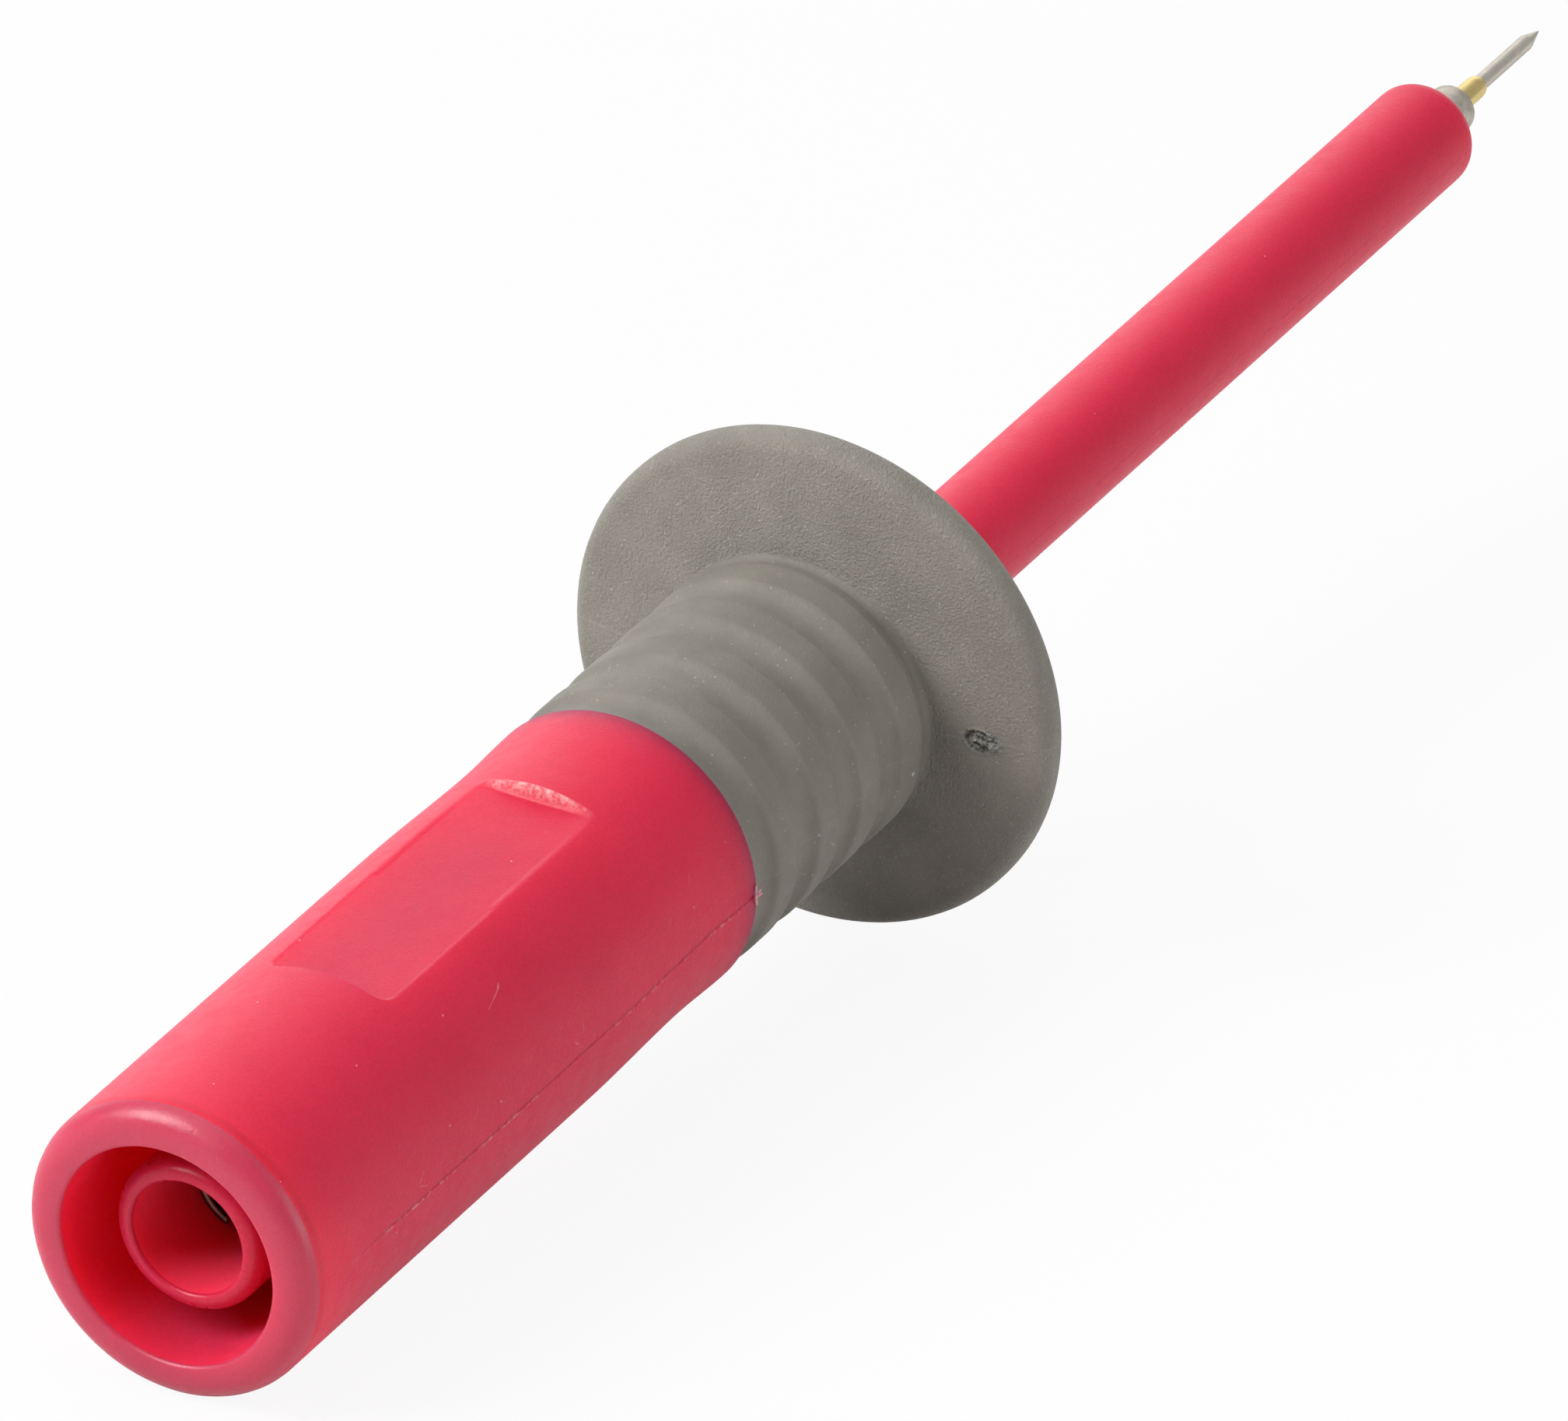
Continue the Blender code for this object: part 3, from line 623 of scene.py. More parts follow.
def flash_nub():
    """The torn crumb of flash at the front end of the handle's right seam."""
    columns = 36
    rows = 18
    size_u, size_v, size_s = NUB_SIZE
    vertices = [(0.0, 0.0, NUB_POLE)]
    for i in range(1, rows):
        tilt = pi * i / rows
        for j in range(columns):
            turn = TURN * j / columns
            x, y, z = direction(turn, tilt)
            swell = 0.75 + 0.25 * float(wander(turn + tilt * 2.6, 5.0))
            for spike_turn, spike_tilt, tall in NUB_SPIKES:
                aim = direction(spike_turn, spike_tilt)
                away = 1 - (x * aim[0] + y * aim[1] + z * aim[2])
                swell += 3.6 * tall * float(np.exp(-away * 26))
            vertices.append((size_u * x * swell, size_v * y * swell, size_s * z * swell))
    vertices.append((0.0, 0.0, -NUB_POLE))
    faces = []
    last = len(vertices) - 1
    for j in range(columns):
        k = (j + 1) % columns
        faces.append((0, 1 + j, 1 + k))
        for i in range(rows - 2):
            a = 1 + i * columns
            b = a + columns
            faces.append((a + k, a + j, b + j, b + k))
        a = 1 + (rows - 2) * columns
        faces.append((a + k, a + j, last))
    middle_u, middle_v, middle_s = NUB_MIDDLE
    moved = [(u + middle_u, v + middle_v, s + middle_s) for u, v, s in vertices]
    return piece("flash_nub", moved, faces, sharp=60)


# Shaft, socket and tip

def shaft_relief(u, v, s):
    """The faint seams on the part of the shaft that shows."""
    side = (np.hypot(u, v) > SHAFT_RADIUS - 0.05) & (s > BOSS_END - 1)
    return seam_relief(u, v, s, SHAFT_SEAM, 1.0 * side)


def shaft_piece():
    """The insulating shaft, with its wider root inside the grip."""
    corners = [
        (SHAFT_END, SHAFT_BORE, 0.08),
        (SHAFT_END, SHAFT_RADIUS, SHAFT_NOSE_ROUNDING),
        (CORE_END, SHAFT_RADIUS, 0),
        (CORE_END, SHAFT_ROOT_RADIUS, 0),
        (SHAFT_START, SHAFT_ROOT_RADIUS, 0),
        (SHAFT_START, SHAFT_BORE, 0),
    ]

    def longest(s, r):
        return 0.5 if r > SHAFT_RADIUS - 0.05 and s > BOSS_END - 2 else 6.0

    outline = spaced(rounded(corners, step=9), longest)
    return turned("shaft", outline, seamed_turn(96, SHAFT_RADIUS), relief=shaft_relief)


def sleeve_piece():
    """The inner sleeve of the rear socket, with a rounded lip and a flange."""
    corners = [
        (SLEEVE_END, SLEEVE_RADIUS, 0),
        (FLANGE_END, SLEEVE_RADIUS, 0.1),
        (FLANGE_END, FLANGE_RADIUS, 0),
        (FLANGE_START, FLANGE_RADIUS, 0.08),
        (FLANGE_START, SLEEVE_RADIUS, 0.12),
        (SLEEVE_MOUTH, SLEEVE_RADIUS, 0.58),
        (SLEEVE_MOUTH, SLEEVE_BORE, MOUTH_ROUNDING),
        (SLEEVE_END, SLEEVE_BORE, 0),
    ]
    outline = spaced(rounded(corners, step=9), lambda s, r: 3.0)
    return turned("sleeve", outline, even_turn(128))


def contact_piece():
    """The slotted contact in the sleeve, with its collar and its tail for the rod."""
    corners = [
        (ROD_HOLE_FLOOR, 0, 0),
        (ROD_HOLE_FLOOR, ROD_HOLE_RADIUS, 0),
        (TAIL_END, ROD_HOLE_RADIUS, 0),
        (TAIL_END, TAIL_RADIUS, 0.12),
        (COLLAR_END, TAIL_RADIUS, 0),
        (COLLAR_END, COLLAR_RADIUS, 0.12),
        (COLLAR_START, COLLAR_RADIUS, 0.12),
        (COLLAR_START, CONTACT_RADIUS, 0),
        (CONTACT_MOUTH, CONTACT_RADIUS, 0.12),
        (CONTACT_MOUTH, CONTACT_BORE, 0.14),
        (CONTACT_FLOOR, CONTACT_BORE, 0),
        (CONTACT_FLOOR, 0, 0),
    ]
    obj = turned("contact", rounded(corners, closed=False, step=15), even_turn(96), closed=False)
    cosine = np.cos(radians(SLOT_ANGLE))
    sine = np.sin(radians(SLOT_ANGLE))
    vertices = []
    for x in (-SLOT_REACH, SLOT_REACH):
        for y in (-SLOT_HALF_WIDTH, SLOT_HALF_WIDTH):
            for z in (SLOT_START, SLOT_END):
                vertices.append((x * cosine - y * sine, x * sine + y * cosine, z))
    faces = [(0, 1, 3, 2), (4, 6, 7, 5), (0, 4, 5, 1), (2, 3, 7, 6), (0, 2, 6, 4), (1, 5, 7, 3)]
    cutter = piece("slot_cutter", vertices, faces)
    cutter.hide_render = True
    slot = obj.modifiers.new("Slot", "BOOLEAN")
    slot.operation = "DIFFERENCE"
    slot.solver = "EXACT"
    slot.object = cutter
    bpy.context.view_layer.update()
    mesh = bpy.data.meshes.new_from_object(obj.evaluated_get(bpy.context.evaluated_depsgraph_get()))
    obj.modifiers.clear()
    obj.data = mesh
    mesh.shade_smooth()
    mesh.set_sharp_from_angle(angle=radians(35))
    bpy.data.objects.remove(cutter)
    return obj


def holder_piece():
    """The plated collar in the shaft's nose, with a seat at each end."""
    corners = [
        (BARREL_HOLE_FLOOR, 0, 0),
        (BARREL_HOLE_FLOOR, BARREL_HOLE_RADIUS, 0),
        (HOLDER_END, BARREL_HOLE_RADIUS, 0.03),
        (HOLDER_END, HOLDER_RADIUS, 0.56),
        (HOLDER_START, HOLDER_RADIUS, 0),
        (HOLDER_START, SPIGOT_HOLE_RADIUS, 0),
        (SPIGOT_HOLE_FLOOR, SPIGOT_HOLE_RADIUS, 0),
        (SPIGOT_HOLE_FLOOR, 0, 0),
    ]
    return turned("nose_collar", rounded(corners, closed=False, step=8), even_turn(72), closed=False)


def barrel_piece():
    """The barrel, with its end crimped in to a lip that keeps the needle's head in."""
    corners = [
        (BARREL_FLOOR, 0, 0),
        (BARREL_FLOOR, BARREL_BORE, 0),
        (BARREL_END - BARREL_LIP, BARREL_BORE, 0),
        (BARREL_END - BARREL_LIP, LIP_BORE, 0),
        (BARREL_END, LIP_BORE, 0),
    ]
    steps = 12
    crimp_length = 0.45
    crimp_rise = 0.105
    for k in range(steps + 1):
        turn = pi / 2 * k / steps
        place = BARREL_END - crimp_length * (1 - cos(turn))
        corners.append((place, BARREL_RADIUS - crimp_rise * (1 - sin(turn)), 0))
    corners += [(BARREL_START, BARREL_RADIUS, 0.08), (BARREL_START, 0, 0)]
    return turned("tip_barrel", rounded(corners, closed=False, step=10), even_turn(64), closed=False)


def needle_piece():
    """The pointed needle, with the head that slides in the barrel."""
    corners = [
        (TIP, 0, 0),
        (TIP - 0.02, 0.018, 0.01),
        (TIP - CONE_LENGTH, NEEDLE_RADIUS, 0.5),
        (HEAD_END, NEEDLE_RADIUS, 0),
        (HEAD_END, HEAD_RADIUS, 0),
        (HEAD_START + HEAD_CHAMFER, HEAD_RADIUS, 0),
        (HEAD_START, HEAD_RADIUS - HEAD_CHAMFER, 0),
        (HEAD_START, 0, 0),
    ]
    return turned("needle", rounded(corners, closed=False, step=5), even_turn(64), closed=False)


def spring_piece():
    """The coil spring behind the needle, with closed end turns."""
    steps = 16  # rings to a turn
    sides = 8  # points to a ring
    count = SPRING_TURNS * steps + 1
    turn = np.arange(count) / steps
    open_turns = np.clip(turn - 1, 0, SPRING_TURNS - 2)
    end_pitch = 1.1 * SPRING_WIRE
    open_pitch = (SPRING_END - SPRING_START - SPRING_WIRE - 2 * end_pitch) / (SPRING_TURNS - 2)
    height = SPRING_START + SPRING_WIRE / 2 + (turn - open_turns) * end_pitch + open_turns * open_pitch
    vertices = []
    for angle, middle in zip(TURN * turn, height):
        for k in range(sides):
            side = TURN * k / sides
            r = SPRING_RADIUS + SPRING_WIRE / 2 * cos(side)
            vertices.append((r * cos(angle), r * sin(angle), middle + SPRING_WIRE / 2 * sin(side)))
    faces = [tuple(range(sides)), tuple(reversed(range((count - 1) * sides, count * sides)))]
    for i in range(count - 1):
        for k in range(sides):
            a = i * sides + k
            b = i * sides + (k + 1) % sides
            faces.append((b, a, a + sides, b + sides))
    return piece("spring", vertices, faces)


# Materials

def add_node(tree, kind, inputs, **settings):
    """A new node; inputs gives its sockets their values or links them to other nodes' outputs."""
    node = tree.nodes.new("ShaderNode" + kind)
    for name, value in settings.items():
        setattr(node, name, value)
    for socket, value in inputs.items():
        if isinstance(value, bpy.types.NodeSocket):
            tree.links.new(value, node.inputs[socket])
        else:
            node.inputs[socket].default_value = value
    return node


class Shader:
    """A small helper round one material's nodes."""

    def __init__(self, name, colour, roughness, metallic=0.0):
        self.material = bpy.data.materials.new(name)
        self.material.use_nodes = True
        self.tree = self.material.node_tree
        self.surface = self.tree.nodes["Principled BSDF"]
        self.set(Base_Color=(*colour, 1.0), Roughness=roughness, Metallic=metallic)
        self.position = self.add("TexCoord", {}).outputs["Object"]

    def add(self, kind, inputs, **settings):
        return add_node(self.tree, kind, inputs, **settings)

    def set(self, **values):
        """Sets or links sockets of the surface shader; underscores stand for spaces."""
        for name, value in values.items():
            socket = self.surface.inputs[name.replace("_", " ")]
            if isinstance(value, bpy.types.NodeSocket):
                self.tree.links.new(value, socket)
            else:
                socket.default_value = value

    def noise(self, scale, detail=2.0, roughness=0.5):
        """A noise whose grains are about 1 / scale metres wide."""
        inputs = {"Vector": self.position, "Scale": scale, "Detail": detail, "Roughness": roughness}
        return self.add("TexNoise", inputs).outputs["Fac"]

    def spread(self, value, from_low, from_high, to_low, to_high):
        inputs = {"Value": value, "From Min": from_low, "From Max": from_high}
        inputs.update({"To Min": to_low, "To Max": to_high})
        return self.add("MapRange", inputs).outputs["Result"]

    def maths(self, operation, first, second):
        return self.add("Math", {0: first, 1: second}, operation=operation).outputs["Value"]

    def vector(self, operation, first, second):
        return self.add("VectorMath", {0: first, 1: second}, operation=operation)

    def place(self, direction):
        """How many millimetres a point is from the rear face's middle along a direction."""
        offset = self.vector("SUBTRACT", self.position, REAR_FACE)
        return self.vector("DOT_PRODUCT", offset.outputs["Vector"], direction / MM).outputs["Value"]

    def line(self, value, middle, width):
        """1 where the value is at the middle, falling to 0 at the width from it."""
        away = self.maths("ABSOLUTE", self.maths("SUBTRACT", value, middle), 0.0)
        return self.spread(away, 0.0, width, 1.0, 0.0)

    def streak(self, start, end, width):
        """1 on a thin mark between two (u, v, s) points; all of it is in millimetres."""
        first = PLACE @ Vector(start)
        along = PLACE @ Vector(end) - first
        offset = self.vector("SUBTRACT", self.position, first).outputs["Vector"]
        reach = self.vector("DOT_PRODUCT", offset, along / along.length_squared).outputs["Value"]
        reach = self.maths("MINIMUM", self.maths("MAXIMUM", reach, 0.0), 1.0)
        nearest = self.add("VectorMath", {0: along, "Scale": reach}, operation="SCALE")
        away = self.vector("DISTANCE", offset, nearest.outputs["Vector"]).outputs["Value"]
        return self.spread(away, 0.3 * width * MM, width * MM, 1.0, 0.0)

    def mix(self, share, first, second):
        """A colour between first and second; each is a colour or a node's output."""
        colours = [(*value, 1.0) if isinstance(value, tuple) else value for value in (first, second)]
        inputs = {"Factor": share, 6: colours[0], 7: colours[1]}
        return self.add("Mix", inputs, data_type="RGBA").outputs[2]

    def bumps(self, *layers):
        """Each layer is (height, depth in millimetres), laid over the one before."""
        inputs = {"Strength": 1.0}
        for height, depth in layers:
            inputs.update({"Height": height, "Distance": depth * MM})
            inputs["Normal"] = self.add("Bump", inputs).outputs["Normal"]
        self.set(Normal=inputs["Normal"])

    def specks(self, scale, size, chance):
        """1 on a few small round specks, and 0 elsewhere."""
        cell = self.add("TexVoronoi", {"Vector": self.position, "Scale": scale}).outputs
        dot = self.maths("LESS_THAN", cell["Distance"], size)
        split = self.add("SeparateColor", {"Color": cell["Color"]})
        rare = self.maths("LESS_THAN", split.outputs["Red"], chance)
        return self.maths("MULTIPLY", dot, rare)


def red_plastic(
    name,
    colour,
    roughness,
    grain,
    glow,
    gloss=0.5,
    sheen=0.0,
    peel=0.0,
    dust=0.0,
    seam=0.0,
    streaks=(),
    wall=False,
):
    """Moulded red plastic: cloudy colour, dust, a fine matte grain, marks, and seams with painted
    shadow.

    glow is the light that spreads inside it, peel a coarser grain that is weaker towards the top, and
    wall adds the handle's marks: a ring of painted shade round its rear end, and painted glints
    with a rougher bump on its pocket's front wall.
    """
    shader = Shader(name, colour, roughness)
    shader.set(Subsurface_Weight=glow, Subsurface_Scale=4.8 * MM, Subsurface_Radius=(1.0, 0.08, 0.12))
    shader.set(Specular_IOR_Level=gloss)
    if sheen:
        shader.set(Sheen_Weight=sheen, Sheen_Roughness=0.4, Sheen_Tint=SHEEN_TINT)
    pale = tuple(min(1.0, c * 1.06 + 0.008) for c in colour)
    deep = tuple(c * 0.92 for c in colour)
    cloud = shader.spread(shader.noise(320.0, 3.0), 0.3, 0.7, 0.3, 0.7)
    speckle = shader.spread(shader.noise(7000.0, 2.0), 0.35, 0.65, -0.22, 0.22)
    surface = shader.mix(shader.maths("ADD", cloud, speckle), deep, pale)
    if dust:
        surface = shader.mix(shader.specks(1700.0, 0.075, dust), surface, DUST_ON_RED)
    up = shader.place(POCKET_DIRECTION)
    along = shader.place(NOSE_DIRECTION)
    if seam:
        started = shader.spread(along, 2.0, 7.0, 0.0, seam)
        stretches = shader.spread(shader.noise(330.0), 0.46, 0.56, 0.1, 1.0)
        crumbs = shader.spread(shader.noise(2300.0, 4.0, 0.75), 0.5, 0.62, 0.0, 1.0)
        crumbs = shader.maths("MULTIPLY", crumbs, shader.line(up, 0.01, 0.11))
        crumbs = shader.maths("MULTIPLY", crumbs, stretches)
        surface = shader.mix(shader.maths("MULTIPLY", crumbs, started), surface, FLASH_ON_RED)
        # Painted shadow: a darker line just above each seam's flash, where the flash's ridge would shade
        # the side.
        groove = shader.maths("MULTIPLY", shader.line(up, 0.085, 0.08), started)
        seam_shadow_colour = tuple(c * 0.5 for c in colour)
        surface = shader.mix(shader.maths("MULTIPLY", groove, 0.8), surface, seam_shadow_colour)
    for start, end, width, strength in streaks:
        mark = shader.maths("MULTIPLY", shader.streak(start, end, width), strength)
        surface = shader.mix(mark, surface, SCRATCH_ON_RED)
    layers = [
        (shader.noise(1400.0, 2.0), min(0.006, grain)),
        (shader.noise(10000.0, 2.0, 0.6), grain),
    ]
    if peel:
        pitted = shader.spread(up, 0.4, 3.4, 1.0, 0.15)
        layers.append((shader.maths("MULTIPLY", shader.noise(7000.0, 3.0, 0.7), pitted), peel))
    if wall:
        # Painted shade: a darker, mottled ring all round the handle about 1 mm from its rear face.
        painted_shade_band = shader.maths("MULTIPLY", shader.line(along, 1.05, 0.35), shader.noise(900.0, 3.0))
        surface = shader.mix(painted_shade_band, surface, PAINTED_SHADE_BAND_RED)
        behind_start = shader.spread(along, POCKET_END - 0.5, POCKET_END - 0.4, 0.0, 1.0)
        before_end = shader.spread(along, POCKET_END - 0.03, POCKET_END + 0.02, 1.0, 0.0)
        at_wall = shader.maths("MULTIPLY", behind_start, before_end)
        at_wall = shader.maths("MULTIPLY", at_wall, shader.spread(up, 5.52, 5.95, 0.0, 1.0))
        # Painted glints: pale specks on the pocket's front wall, as highlights on its rough face.
        painted_glints = shader.spread(shader.noise(5200.0, 3.0, 0.7), 0.42, 0.62, 0.2, 0.9)
        surface = shader.mix(shader.maths("MULTIPLY", at_wall, painted_glints), surface, PAINTED_GLINT_ON_RED)
        rough = shader.maths("MULTIPLY", shader.noise(4600.0, 3.0, 0.7), at_wall)
        layers.append((rough, 0.06))
    varied = shader.spread(shader.noise(1500.0), 0.3, 0.7, roughness - 0.04, roughness + 0.05)
    shader.set(Base_Color=surface, Roughness=varied)
    shader.bumps(*layers)
    return shader.material


def grey_rubber(name, colour, roughness, leather, grain, painted_glints, streaks=(), scar=False):
    """Soft grey rubber: cloudy colour, a leathery grain with painted glints, and a few scuffs.

    scar adds the torn gate's colours and makes the seam clearer, as on the guard.
    """
    shader = Shader(name, colour, roughness)
    shader.set(Sheen_Weight=0.1, Sheen_Roughness=0.45)
    deep = tuple(c * 0.88 for c in colour)
    pale = tuple(c * 1.09 for c in colour)
    cloud = shader.spread(shader.noise(420.0, 3.0), 0.3, 0.7, 0.0, 1.0)
    surface = shader.mix(cloud, deep, pale)
    pebbles = shader.noise(8500.0, 3.0, 0.66)
    # Painted glints: pale grain crests and pale specks, as highlights on the rubber's rough face.
    surface = shader.mix(shader.spread(pebbles, 0.52, 0.75, 0.0, painted_glints * 1.5), surface, PAINTED_GLINT_ON_GRAIN)
    surface = shader.mix(shader.specks(6200.0, 0.24, painted_glints * 0.9), surface, PAINTED_GLINT_ON_GREY)
    surface = shader.mix(shader.specks(1900.0, 0.07, 0.004), surface, DUST_ON_GREY)
    up = shader.place(POCKET_DIRECTION)
    seam = shader.maths("MULTIPLY", shader.line(up, 0.0, 0.05), shader.noise(1800.0, 3.0))
    surface = shader.mix(shader.maths("MULTIPLY", seam, 0.6 if scar else 0.2), surface, SEAM_ON_GREY)
    if scar:
        right = shader.place(RIGHT_DIRECTION)
        out = shader.maths("DIVIDE", shader.maths("SUBTRACT", right, SCAR_MIDDLE), 0.74)
        rise = shader.maths("DIVIDE", up, 0.5)
        out = shader.maths("MULTIPLY", out, out)
        rise = shader.maths("MULTIPLY", rise, rise)
        torn = shader.spread(shader.maths("ADD", out, rise), 0.75, 1.15, 0.85, 0.0)
        ragged = shader.spread(shader.noise(5200.0, 4.0, 0.8), 0.42, 0.6, 0.0, 1.0)
        surface = shader.mix(torn, surface, shader.mix(ragged, TORN_DARK, TORN_PALE))
    for start, end, width, strength in streaks:
        mark = shader.maths("MULTIPLY", shader.streak(start, end, width), strength)
        surface = shader.mix(mark, surface, SCRATCH_ON_GREY)
    varied = shader.spread(shader.noise(2500.0), 0.3, 0.7, roughness - 0.08, roughness + 0.06)
    shader.set(Base_Color=surface, Roughness=varied)
    shader.bumps(
        (shader.noise(1100.0, 2.0), 0.01),
        (pebbles, leather),
        (shader.noise(8000.0, 2.0, 0.65), grain),
    )
    return shader.material


def plated_metal(name, colour, roughness, tarnish, lines, edge=1.0, metallic=1.0):
    """Turned or drawn metal, cloudy with tarnish, with fine rings that are lines millimetres deep."""
    shader = Shader(name, colour, roughness, metallic)
    shader.set(Specular_Tint=(edge, edge, edge * 0.95, 1.0))
    dull = tuple(c * tarnish for c in colour)
    cloud = shader.spread(shader.noise(1800.0, 3.0), 0.35, 0.7, 0.0, 1.0)
    varied = shader.spread(shader.noise(3000.0), 0.3, 0.7, roughness - 0.05, roughness + 0.08)
    shader.set(Base_Color=shader.mix(cloud, colour, dull), Roughness=varied)
    inputs = {"Vector": shader.position, "Scale": 3500.0, "Distortion": 0.6}
    rings = shader.add("TexWave", inputs, bands_direction="X")
    shader.bumps((rings.outputs["Fac"], lines), (shader.noise(12000.0), lines * 0.4))
    return shader.material


# Stage

def white_share(tree, seen_white, glossy_white):
    """How much plain white a ray sees, from the camera or through glass, and in gloss."""
    path = add_node(tree, "LightPath", {}).outputs
    inputs = {0: path["Is Camera Ray"], 1: path["Is Transmission Ray"]}
    seen = add_node(tree, "Math", inputs, operation="MAXIMUM").outputs[0]
    bright = add_node(tree, "Math", {0: seen, 1: seen_white}, operation="MULTIPLY").outputs[0]
    inputs = {0: path["Is Glossy Ray"], 1: glossy_white, 2: bright}
    return add_node(tree, "Math", inputs, operation="MULTIPLY_ADD").outputs[0]


def floor():
    """A wide pale floor that keeps the probe's shadow and looks nearly white to the camera."""
    half = 3.0
    mesh = bpy.data.meshes.new("floor")
    corners = [(-half, -half, 0), (half, -half, 0), (half, half, 0), (-half, half, 0)]
    mesh.from_pydata(corners, [], [(0, 1, 2, 3)])
    obj = bpy.data.objects.new("floor", mesh)
    bpy.context.scene.collection.objects.link(obj)
    obj.location.z = -0.02 * MM
    material = bpy.data.materials.new("floor_white")
    material.use_nodes = True
    tree = material.node_tree
    tree.nodes.clear()
    paper = add_node(tree, "BsdfDiffuse", {"Color": (0.8, 0.8, 0.8, 1)}).outputs["BSDF"]
    glow = add_node(tree, "Emission", {"Color": WHITE, "Strength": 1.0}).outputs["Emission"]
    share = white_share(tree, FLOOR_WHITE, FLOOR_GLOSSY_SHARE)
    blend = add_node(tree, "MixShader", {"Fac": share, 1: paper, 2: glow}).outputs["Shader"]
    add_node(tree, "OutputMaterial", {"Surface": blend})
    mesh.materials.append(material)


def studio_world():
    """White to the camera; for surfaces dim all round, a little brighter from the camera's right
    and brightest from behind the probe."""
    world = bpy.data.worlds.new("studio")
    bpy.context.scene.world = world
    world.use_nodes = True
    tree = world.node_tree
    tree.nodes.clear()
    direction = add_node(tree, "TexCoord", {}).outputs["Generated"]

    def lobe(middle, start, end, strength):
        inputs = {0: direction, 1: Vector(middle).normalized()}
        facing = add_node(tree, "VectorMath", inputs, operation="DOT_PRODUCT").outputs["Value"]
        inputs = {"Value": facing, "From Min": start, "From Max": end, "To Min": 0.0, "To Max": strength}
        return add_node(tree, "MapRange", inputs, interpolation_type="SMOOTHSTEP").outputs["Result"]

    right = lobe((0.70, -0.62, 0.34), 0.3, 0.92, WORLD_RIGHT)
    back = lobe((0.76, 0.62, 0.14), 0.68, 0.97, WORLD_BACK)
    lobes = add_node(tree, "Math", {0: right, 1: back}, operation="ADD").outputs[0]
    whole = add_node(tree, "Math", {0: lobes, 1: WORLD_EVEN}, operation="ADD").outputs[0]
    light = add_node(tree, "Background", {"Color": WHITE, "Strength": whole}).outputs[0]
    white = add_node(tree, "Background", {"Color": WHITE, "Strength": 1.0}).outputs[0]
    share = white_share(tree, 1.0, WORLD_GLOSSY_SHARE)
    blend = add_node(tree, "MixShader", {"Fac": share, 1: light, 2: white}).outputs["Shader"]
    add_node(tree, "OutputWorld", {"Surface": blend})


def soft_lamp(name, place, size, power):
    """A square lamp that shines at the middle of the floor under the probe."""
    data = bpy.data.lights.new(name, "AREA")
    data.shape = "SQUARE"
    data.size = size
    data.energy = power
    obj = bpy.data.objects.new(name, data)
    bpy.context.scene.collection.objects.link(obj)
    obj.location = place
    obj.rotation_euler = (-Vector(place)).to_track_quat("-Z", "Y").to_euler()


def camera():
    """The camera at the photo's viewing angle, far away with a long lens."""
    data = bpy.data.cameras.new("camera")
    data.lens = CAMERA_LENS
    data.sensor_width = CAMERA_SENSOR
    data.clip_start = 0.01
    data.clip_end = 20.0
    obj = bpy.data.objects.new("camera", data)
    bpy.context.scene.collection.objects.link(obj)
    turn = Matrix((CAMERA_RIGHT, CAMERA_UP, CAMERA_BACK)).transposed().to_4x4()
    obj.matrix_world = Matrix.Translation(CAMERA_PLACE) @ turn
    bpy.context.scene.camera = obj


def on_side(radius, angle, s):
    """A point on a round side; the angle is in degrees from the pocket towards the right."""
    return (radius * cos(radians(angle)), radius * sin(radians(angle)), s)


# Scratches and scuffs: from, to, width and strength
HANDLE_MARKS = (
    ((3.95, 4.74, 15.55), (4.08, 4.63, 16.1), 0.03, 0.4),
    ((4.08, 4.63, 16.1), (4.24, 4.48, 16.75), 0.04, 0.6),
    ((4.22, 4.5, 16.6), (4.3, 4.42, 16.8), 0.05, 0.6),
    (on_side(6.17, 83, 8.2), on_side(6.17, 80, 8.5), 0.04, 0.4),
    (on_side(6.17, 84, 8.1), on_side(6.17, 86, 8.6), 0.04, 0.4),
    (on_side(6.17, 78, 12.3), on_side(6.17, 76, 12.6), 0.04, 0.3),
    (on_side(6.17, 83, 19.6), on_side(6.17, 84.5, 19.8), 0.06, 0.5),
    (on_side(6.17, 82, 20.2), on_side(6.17, 79, 20.3), 0.04, 0.3),
    (on_side(6.1, 72, 24.4), on_side(6.1, 70, 24.5), 0.05, 0.3),
    (on_side(6.05, 74, 27.1), on_side(6.05, 71, 27.4), 0.05, 0.3),
    (on_side(6.05, 66, 29.2), on_side(6.05, 63, 29.4), 0.04, 0.3),
)
GRIP_MARKS = (
    (on_side(6.05, 84, 37.6), on_side(6.05, 100, 39.5), 0.06, 0.4),
    (on_side(6.05, 71, 33.8), on_side(6.05, 74, 34.35), 0.05, 0.7),
    (on_side(6.05, 85, 40.4), on_side(6.05, 84, 40.7), 0.14, 0.5),
    (on_side(6.05, 100, 45.6), on_side(6.05, 100.3, 45.62), 0.12, 1.0),
    (on_side(6.05, 20, 41.2), on_side(6.05, 23, 41.4), 0.04, 0.3),
)

handle_red = red_plastic(
    "handle_red",
    RED,
    0.44,
    grain=0.015,
    glow=0.85,
    gloss=0.35,
    sheen=0.11,
    peel=0.06,
    dust=0.05,
    seam=0.9,
    streaks=HANDLE_MARKS,
    wall=True,
)
shaft_red = red_plastic(
    "shaft_red",
    RED,
    0.44,
    grain=0.015,
    glow=0.85,
    gloss=0.35,
    sheen=0.04,
    peel=0.024,
    dust=0.03,
    seam=0.2,
)
# Paler and less red than the handle's red: painted reflection, a whitish veil on the end face.
end_red_painted_reflection = red_plastic("end_red_painted_reflection", (0.48, 0.036, 0.09), 0.36, grain=0.01, glow=0.85, dust=0.05)
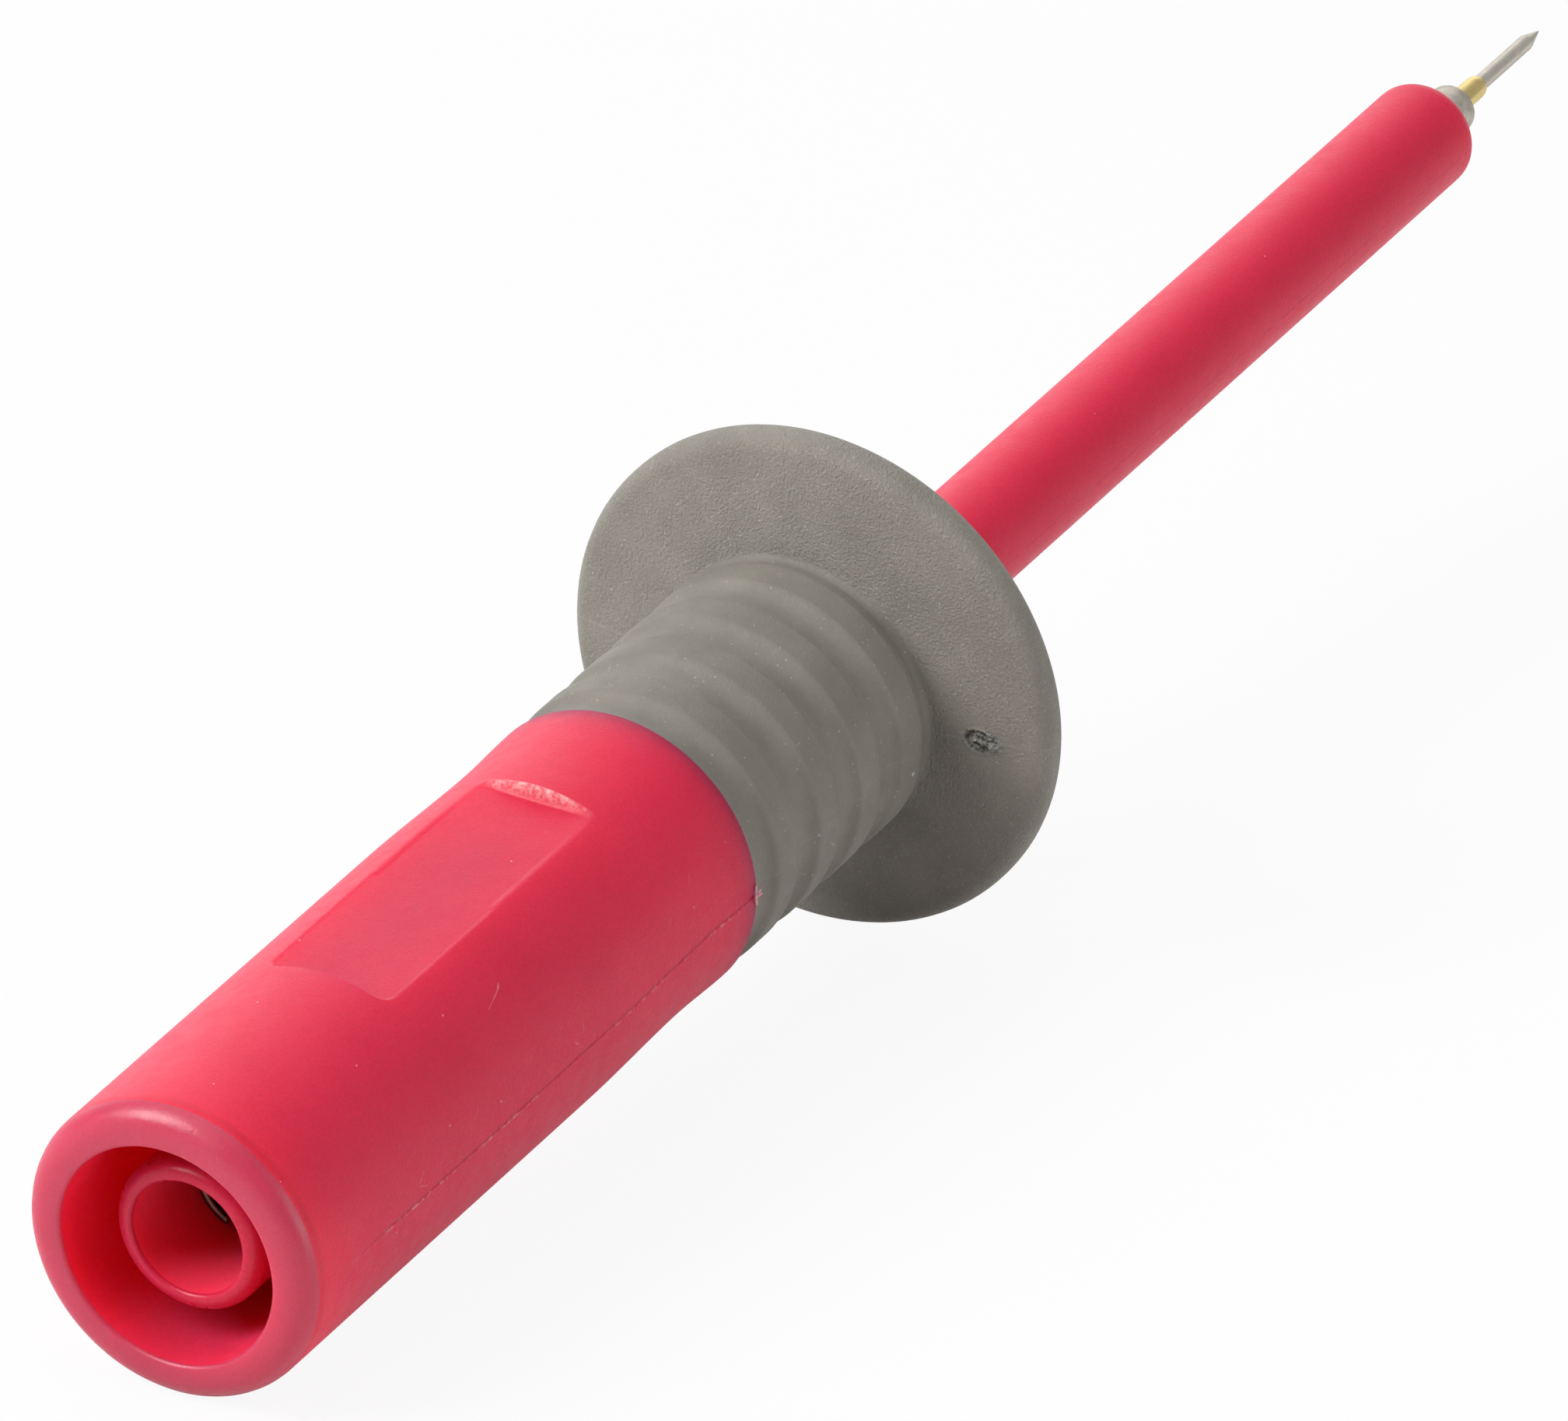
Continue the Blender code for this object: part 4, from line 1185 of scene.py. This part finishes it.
# Green and blue raised over the handle's red: painted pale light inside the recess.
recess_red_painted_light = red_plastic("recess_red_painted_light", (0.74, 0.023, 0.077), 0.42, grain=0.002, glow=1.0, gloss=0.35)
# Darker than the handle's red: painted shade on the sleeve's lip inside the recess.
sleeve_red = red_plastic("sleeve_red", (0.55, 0.011, 0.05), 0.3, grain=0.0005, glow=0.2, gloss=0.3)
# Much brighter than the sleeve's red: painted light down the deep bore, where little light reaches.
bore_red_painted_light = red_plastic("bore_red_painted_light", (0.98, 0.04, 0.095), 0.36, grain=0.0015, glow=0.7)
nub_red = red_plastic("nub_red", (0.8, 0.38, 0.42), 0.5, grain=0.004, glow=0.3)
grip_grey = grey_rubber(
    "grip_grey", (0.21, 0.193, 0.162), 0.62, leather=0.03, grain=0.01, painted_glints=0.06, streaks=GRIP_MARKS
)
# Lighter than the grip's rubber in the same moulding: partly its coarser finish, partly painted light.
guard_grey_painted_light = grey_rubber(
    "guard_grey_painted_light", (0.256, 0.237, 0.2), 0.5, leather=0.11, grain=0.03, painted_glints=0.2, scar=True
)
# Much darker than brass: painted shade on the contact deep in the socket.
contact_plate = plated_metal("contact_plate", (0.24, 0.18, 0.14), 0.34, tarnish=0.7, lines=0.001)
rod_brass = plated_metal("rod_brass", (0.72, 0.52, 0.22), 0.35, tarnish=0.8, lines=0.001)
nickel = plated_metal(
    "nickel_plate", (0.76, 0.7, 0.61), 0.42, tarnish=0.62, lines=0.0012, edge=0.4, metallic=0.75
)
gold = plated_metal(
    "gold_plate", (0.92, 0.72, 0.31), 0.32, tarnish=0.88, lines=0.0004, edge=0.8, metallic=0.88
)
needle_steel = plated_metal(
    "needle_steel", (0.78, 0.725, 0.64), 0.36, tarnish=0.88, lines=0.0004, edge=0.35, metallic=0.84
)
spring_steel = plated_metal("spring_steel", (0.56, 0.56, 0.54), 0.3, tarnish=0.9, lines=0.0005)

handle = handle_piece()
finish_piece(handle, "handle_body", "handle_red", handle_red, end_red_painted_reflection, recess_red_painted_light)
in_zones(handle, handle_zone)
finish_piece(flash_nub(), None, "handle_red", nub_red)
finish_piece(shaft_piece(), "front_shaft", "shaft_red", shaft_red)
grip = grip_piece()
finish_piece(grip, "grip_guard", "grip_grey", grip_grey, guard_grey_painted_light)
in_zones(grip, grip_zone)
sleeve = sleeve_piece()
finish_piece(sleeve, "socket_sleeve", "sleeve_red", sleeve_red, bore_red_painted_light)
in_zones(sleeve, sleeve_zone)
finish_piece(contact_piece(), "socket_contact", "contact_brass", contact_plate)
finish_piece(holder_piece(), "tip_holder", "nickel_plate", nickel)
finish_piece(barrel_piece(), "probe_barrel", "gold_plate", gold)
finish_piece(needle_piece(), "needle_plunger", "needle_steel", needle_steel)

spring = spring_piece()
finish_piece(spring, "plunger_spring", "spring_steel", spring_steel)
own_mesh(spring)

rod_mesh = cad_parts["conductor_rod"].data
rod_mesh.materials.clear()
rod_mesh.materials.append(rod_brass)

floor()
studio_world()
soft_lamp("key_lamp", (-0.38, 0.3, 0.36), 0.3, KEY_POWER)
soft_lamp("fill_lamp", (0.04, -0.55, 0.13), 0.35, FILL_POWER)
soft_lamp("top_lamp", (-0.02, 0.12, 0.55), 0.5, TOP_POWER)
camera()

scene = bpy.context.scene
scene.view_settings.view_transform = "Standard"
